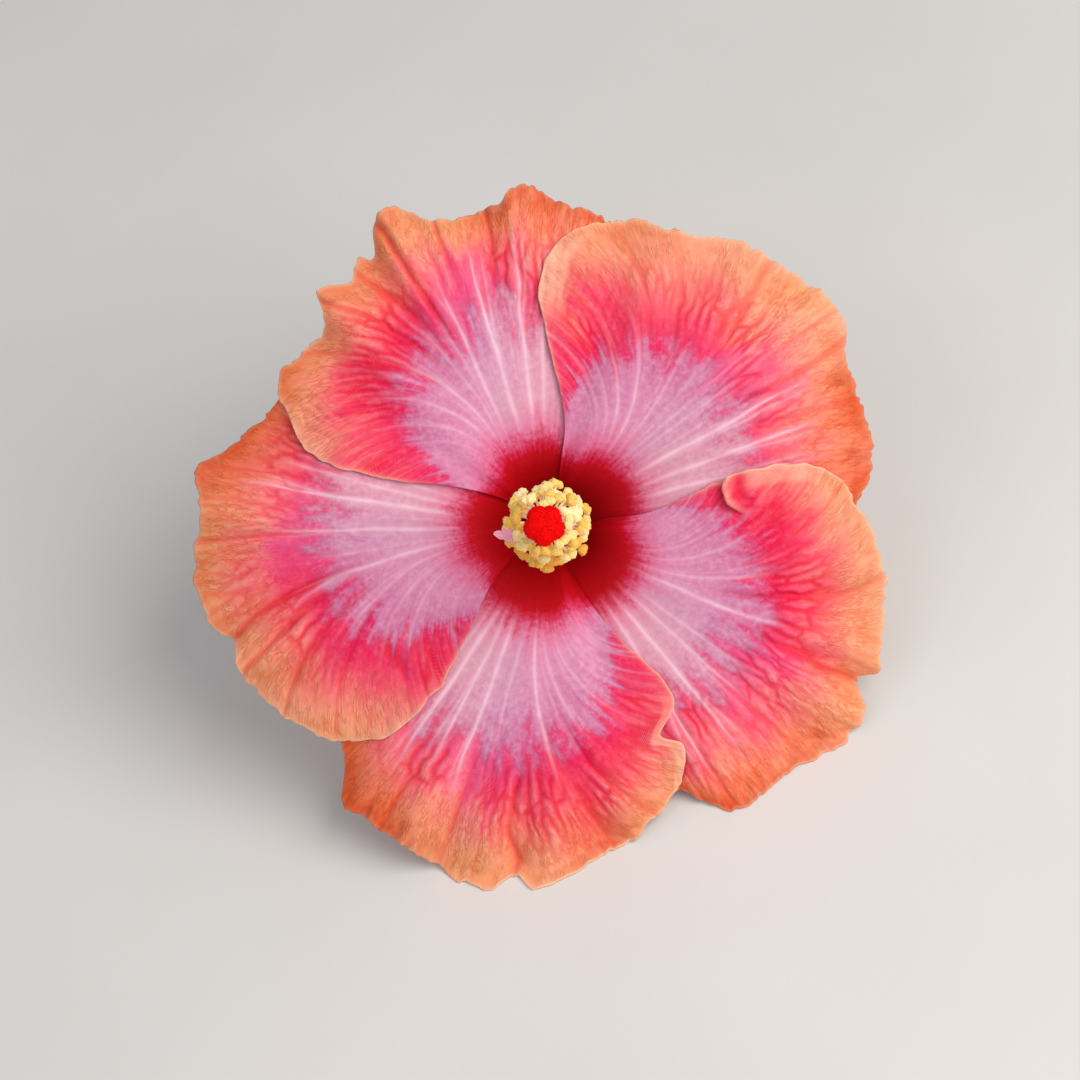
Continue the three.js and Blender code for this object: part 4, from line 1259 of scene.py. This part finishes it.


# In every ramp the first stops darken the eye towards the claw: its wine red is its own, the darkest red
# painted shade of the deep throat.
petalFront = makePetalMaterial("petal upper face", {
    "upper": [
        (0.0, "#5E0105"), (0.08, "#8E0206"), (0.15, "#AC040E"), (0.18, "#BC0718"), (0.2, "#CC2650"),
        (0.225, "#DA6C94"), (0.26, "#D587AC"), (0.34, "#CB7BA3"), (0.375, "#CA6A95"), (0.41, "#D63E72"),
        (0.46, "#E4225C"), (0.56, "#EE466B"), (0.64, "#F26872"), (0.74, "#F08675"), (0.86, "#F09A74"),
        (0.96, "#E8905C"), (1.0, "#ECA272"),
    ],
    "middle": [
        (0.0, "#5E0105"), (0.08, "#8E0206"), (0.15, "#AA040E"), (0.18, "#BC0A20"), (0.2, "#CC3660"),
        (0.225, "#D27CA0"), (0.26, "#CB91AA"), (0.32, "#CC90B0"), (0.37, "#C3799F"), (0.41, "#D2588A"),
        (0.46, "#E2528A"), (0.53, "#EA5989"), (0.58, "#F0608A"), (0.63, "#F3748C"), (0.73, "#F49086"),
        (0.83, "#F4A47C"), (0.93, "#EC9E66"), (1.0, "#EEAA78"),
    ],
    "lower": [
        (0.0, "#5E0105"), (0.08, "#8E0206"), (0.15, "#A8040C"), (0.18, "#B80718"), (0.2, "#C82A50"),
        (0.225, "#DA7695"), (0.26, "#D493A8"), (0.32, "#D595AB"), (0.37, "#CB7593"), (0.41, "#DE4A74"),
        (0.48, "#EE5476"), (0.56, "#F26878"), (0.64, "#F37478"), (0.74, "#F48672"), (0.84, "#F28A64"),
        # the orange deepens near the lower side's margin: partly its own colour, partly painted shade
        (0.92, "#E67446"), (0.97, "#D45E30"), (1.0, "#DC7850"),
    ],
    "mottle": 0.24, "mottleColour": "#DC96B8", "crease": 0.75, "creaseColour": "#F46478", "net": 0.52,
    "netColour": "#F07858", "crestColour": "#FFBC9C", "hollowColour": "#F08460", "vein": 0.75,
    "veinColour": "#F6D0E0", "rimColour": "#FDDCB8", "paleColour": "#FFBEA0", "deepColour": "#DC5A28",
})
petalBack = makePetalMaterial("petal lower face", {
    "upper": [
        (0.0, "#D9B49A"), (0.12, "#C46A6C"), (0.2, "#C66A80"), (0.26, "#DFA6BC"), (0.38, "#E6A9BE"),
        (0.46, "#EE7C92"), (0.6, "#F28E88"), (0.75, "#F4A184"), (0.95, "#F6B48C"), (1.0, "#FBCBA4"),
    ],
    "lower": [
        (0.0, "#D9B49A"), (0.12, "#C46A6C"), (0.2, "#C66A80"), (0.26, "#E3B2C4"), (0.4, "#E9B4C6"),
        (0.5, "#F09AA8"), (0.65, "#F39C8C"), (0.8, "#F2996E"), (0.95, "#F3A274"), (1.0, "#FBC39C"),
    ],
    "middle": [
        (0.0, "#D9B49A"), (0.12, "#C46A6C"), (0.2, "#C66A80"), (0.26, "#E2B0C6"), (0.4, "#E8AEC6"),
        (0.5, "#F090AA"), (0.65, "#F39A94"), (0.8, "#F4A880"), (0.95, "#F5AC7C"), (1.0, "#FBC7A0"),
    ],
    "mottle": 0.35, "mottleColour": "#EDBBC4", "crease": 0.4, "creaseColour": "#DA7068", "net": 0.35,
    "netColour": "#DC8470", "crestColour": "#F9C8A8", "hollowColour": "#F0A488", "vein": 0.6,
    "veinColour": "#F7DCDD", "rimColour": "#FDD9B4", "paleColour": "#FBCBA8", "deepColour": "#EC8C5C",
})


def makeSkin(name, colours, roughness, grain, relief, specular=0.3, subsurface=0.0, by=None):
    # Plant skin with a grain of so many cells to a metre. Its colours follow the grain, or else a number that
    # the mesh carries, between two values, with some of the grain added.
    material, add = newMaterial(name)
    cells = add("TexNoise", add("TexCoord", output="Object"), Scale=grain, Detail=3.0, Roughness=0.6)
    factor = cells
    if by:
        number, low, high, uneven = by
        share = add("Math", add("Attribute", attribute_name=number, output="Fac"), low, operation="SUBTRACT")
        share = add("Math", share, high - low, operation="DIVIDE")
        factor = add("Math", cells, 0.5, operation="SUBTRACT")
        factor = add("Math", factor, uneven, share, operation="MULTIPLY_ADD")
    rough = add("ValToRGB", cells, stops=[(0.3, roughness - 0.07), (0.7, roughness + 0.07)])
    return finishMaterial(
        material, Base_Color=add("ValToRGB", factor, stops=colours), Roughness=rough,
        Normal=add("Bump", Height=cells, Strength=0.6, Distance=relief * millimetre),
        Specular_IOR_Level=specular, Subsurface_Weight=subsurface, Subsurface_Scale=0.8 * millimetre,
    )


# Smooth moist tube, wine red at its foot and cream at its top.
tubeSkin = makeSkin("staminal tube", [
    (0.0, "#8E0A1C"), (0.25, "#B8304A"), (0.5, "#E08890"), (0.75, "#F2BFA4"), (1.0, "#F8D9B4"),
], 0.45, 900, 0.05, subsurface=0.15, by=("height", 2, 96, 0.12))
# Thin threads, almost clear, pale peach.
filamentSkin = makeSkin("filaments", [
    (0.3, "#F7C4A0"), (0.5, "#FCD8AE"), (0.7, "#FEE6C4"),
], 0.5, 1500, 0.03, subsurface=0.2)
# Anther wall: matte golden yellow, browner in its slit; random tints, with painted light paler towards +Y.
antherSkin = makeSkin("anther wall", [
    (0.1, "#E2963A"), (0.4, "#F1B850"), (0.65, "#F8D472"), (0.9, "#FEE8AC"),
], 0.75, 2200, 0.12, specular=0.15, by=("shade", 0, 1, 0.6))
# Pollen: dusty grains of cream yellow, with the same tints and painted light.
pollenSkin = makeSkin("pollen", [
    (0.1, "#F5B45A"), (0.4, "#FBD474"), (0.65, "#FFE89C"), (0.9, "#FFF7DA"),
], 0.85, 1400, 0.04, specular=0.1, by=("shade", 0, 1, 0.6))
# Pink tongue: petal tissue.
tongueSkin = makeSkin("pink tongue", [
    (0.0, "#F8D2B8"), (0.45, "#F8BCC4"), (0.75, "#F49CC0"), (1.0, "#FBC4D8"),
], 0.5, 1400, 0.06, specular=0.2, subsurface=0.1, by=("along", 0, 1, 0.3))
# Stigmas: bright red velvet of tiny knobs, which throw no gloss.
stigmaSkin = makeSkin("stigma velvet", [
    (0.3, "#D80206"), (0.5, "#EE0508"), (0.7, "#FF1A12"),
], 0.85, 3200, 0.05, specular=0.08)
# Style: smooth and pale red.
styleSkin = makeSkin("style", [(0.3, "#D23A36"), (0.7, "#E86A58")], 0.45, 1200, 0.04, subsurface=0.1)
# Calyx and bracts: satin leafy green with paler ribs.
leafySkin = makeSkin("leafy green", [
    (0.0, "#4F7A2C"), (0.3, "#628C38"), (0.6, "#7FA24C"), (1.0, "#A3BE6C"),
], 0.55, 900, 0.12, subsurface=0.05, by=("rib", -0.3, 1.2, 0.9))
# Hairs: pale and translucent.
hairSkin = makeSkin("pale hairs", [(0.3, "#D5DCB4"), (0.7, "#EEF0D6")], 0.6, 500, 0.02, subsurface=0.2)


def makeStalkSkin():
    # Satin green skin of a young stalk with pale flecks 2 mm apart, brownish at the joint, and moist pale
    # pith at the cut.
    material, add = newMaterial("green stalk")
    spot = add("TexCoord", output="Object")
    cells = add("TexNoise", spot, Scale=600.0, Detail=3.0)
    flecks = add("TexVoronoi", spot, Scale=520.0)
    joint, cut = (add("Attribute", attribute_name=each, output="Fac") for each in ("joint", "cut"))
    colour = add("ValToRGB", cells, stops=[(0.3, "#55742C"), (0.55, "#74923E"), (0.75, "#8DA552")])
    for factor, tint in (
        (add("ValToRGB", flecks, stops=[(0.1, 0.7), (0.2, 0.0)]), "#B9BF84"),
        (add("Math", joint, 0.75, operation="MULTIPLY"), "#7C5A34"),
        (cut, "#D9DDB0"),
    ):
        colour = add("Mix", factor, colour, tint, data_type="RGBA")
    return finishMaterial(
        material, Base_Color=colour, Roughness=add("ValToRGB", cells, stops=[(0.3, 0.45), (0.7, 0.6)]),
        Normal=add("Bump", Height=cells, Strength=0.5, Distance=0.1 * millimetre), Specular_IOR_Level=0.35,
    )


stalkSkin = makeStalkSkin()
print("materials made")

for index in range(len(petals)):
    makePetal(index)
print("petals made")
makeTube()
makeFilaments()
makeAnthers()
makeTongues()
print("column made")
makePistil()
print("pistil made")
makeCalyx()
makeBracts()
makeStalk()
print("calyx, bracts and stalk made")

view = {
    "distance": 700.0,  # from the camera to the petals
    "petalLevel": 38.0,  # height of the petals in the flower's frame
    "aim": (-2.06, -3.43),  # the point of that level in the middle of the picture
    "frameWidth": 1080 * 0.2286,  # millimetres across the picture at that level
    "sensor": 36.0,
}
lamps = [
    # name, width, watts, place, colour; all sizes in metres
    ("key", 0.95, 11.8, (0.6, -0.54, 0.85), "#FFFAF4"),
    ("fill", 1.2, 3.0, (-0.8, -0.7, 0.9), "#F4F7FF"),
]
lampTarget = Vector((0, 0, 0.04))


def makeCamera():
    data = bpy.data.cameras.new("camera")
    camera = bpy.data.objects.new("camera", data)
    bpy.context.scene.collection.objects.link(camera)
    data.sensor_width = view["sensor"]
    data.lens = view["sensor"] * view["distance"] / view["frameWidth"]
    data.clip_start = 0.01
    place = toRow @ Vector((*view["aim"], view["petalLevel"] + view["distance"]))
    camera.matrix_world = Matrix.Translation(place) @ toRow.to_3x3().normalized().to_4x4()
    bpy.context.scene.camera = camera


def makeLamp(name, width, power, place, colour):
    data = bpy.data.lights.new(name, "AREA")
    data.shape = "DISK"
    data.size = width
    data.energy = power
    data.color = hexColour(colour)[:3]
    lamp = bpy.data.objects.new(name, data)
    bpy.context.scene.collection.objects.link(lamp)
    lamp.location = place
    lamp.rotation_euler = (lampTarget - Vector(place)).to_track_quat("-Z", "Y").to_euler()


def makeFloor():
    # a pale matte table top, very slightly cloudy
    bm = bmesh.new()
    bmesh.ops.create_grid(bm, x_segments=2, y_segments=2, size=3.0)
    floor = addMesh("floor", bm)
    material, add = newMaterial("pale matte table top")
    cloud = add("TexNoise", add("TexCoord", output="Object"), Scale=9.0, Detail=3.0)
    tint = add("ValToRGB", cloud, stops=[(0.3, "#DAD8D5"), (0.7, "#E0DEDB")])
    floor.data.materials.append(finishMaterial(material, Base_Color=tint, Roughness=0.75))


makeCamera()
makeFloor()
for lamp in lamps:
    makeLamp(*lamp)
world = bpy.data.worlds.new("studio")
world.use_nodes = True
surround = world.node_tree.nodes["Background"]
surround.inputs["Color"].default_value = hexColour("#F4F6FA")
surround.inputs["Strength"].default_value = 0.42
bpy.context.scene.world = world
bpy.context.scene.view_settings.view_transform = "Standard"
print("camera, floor and light made")
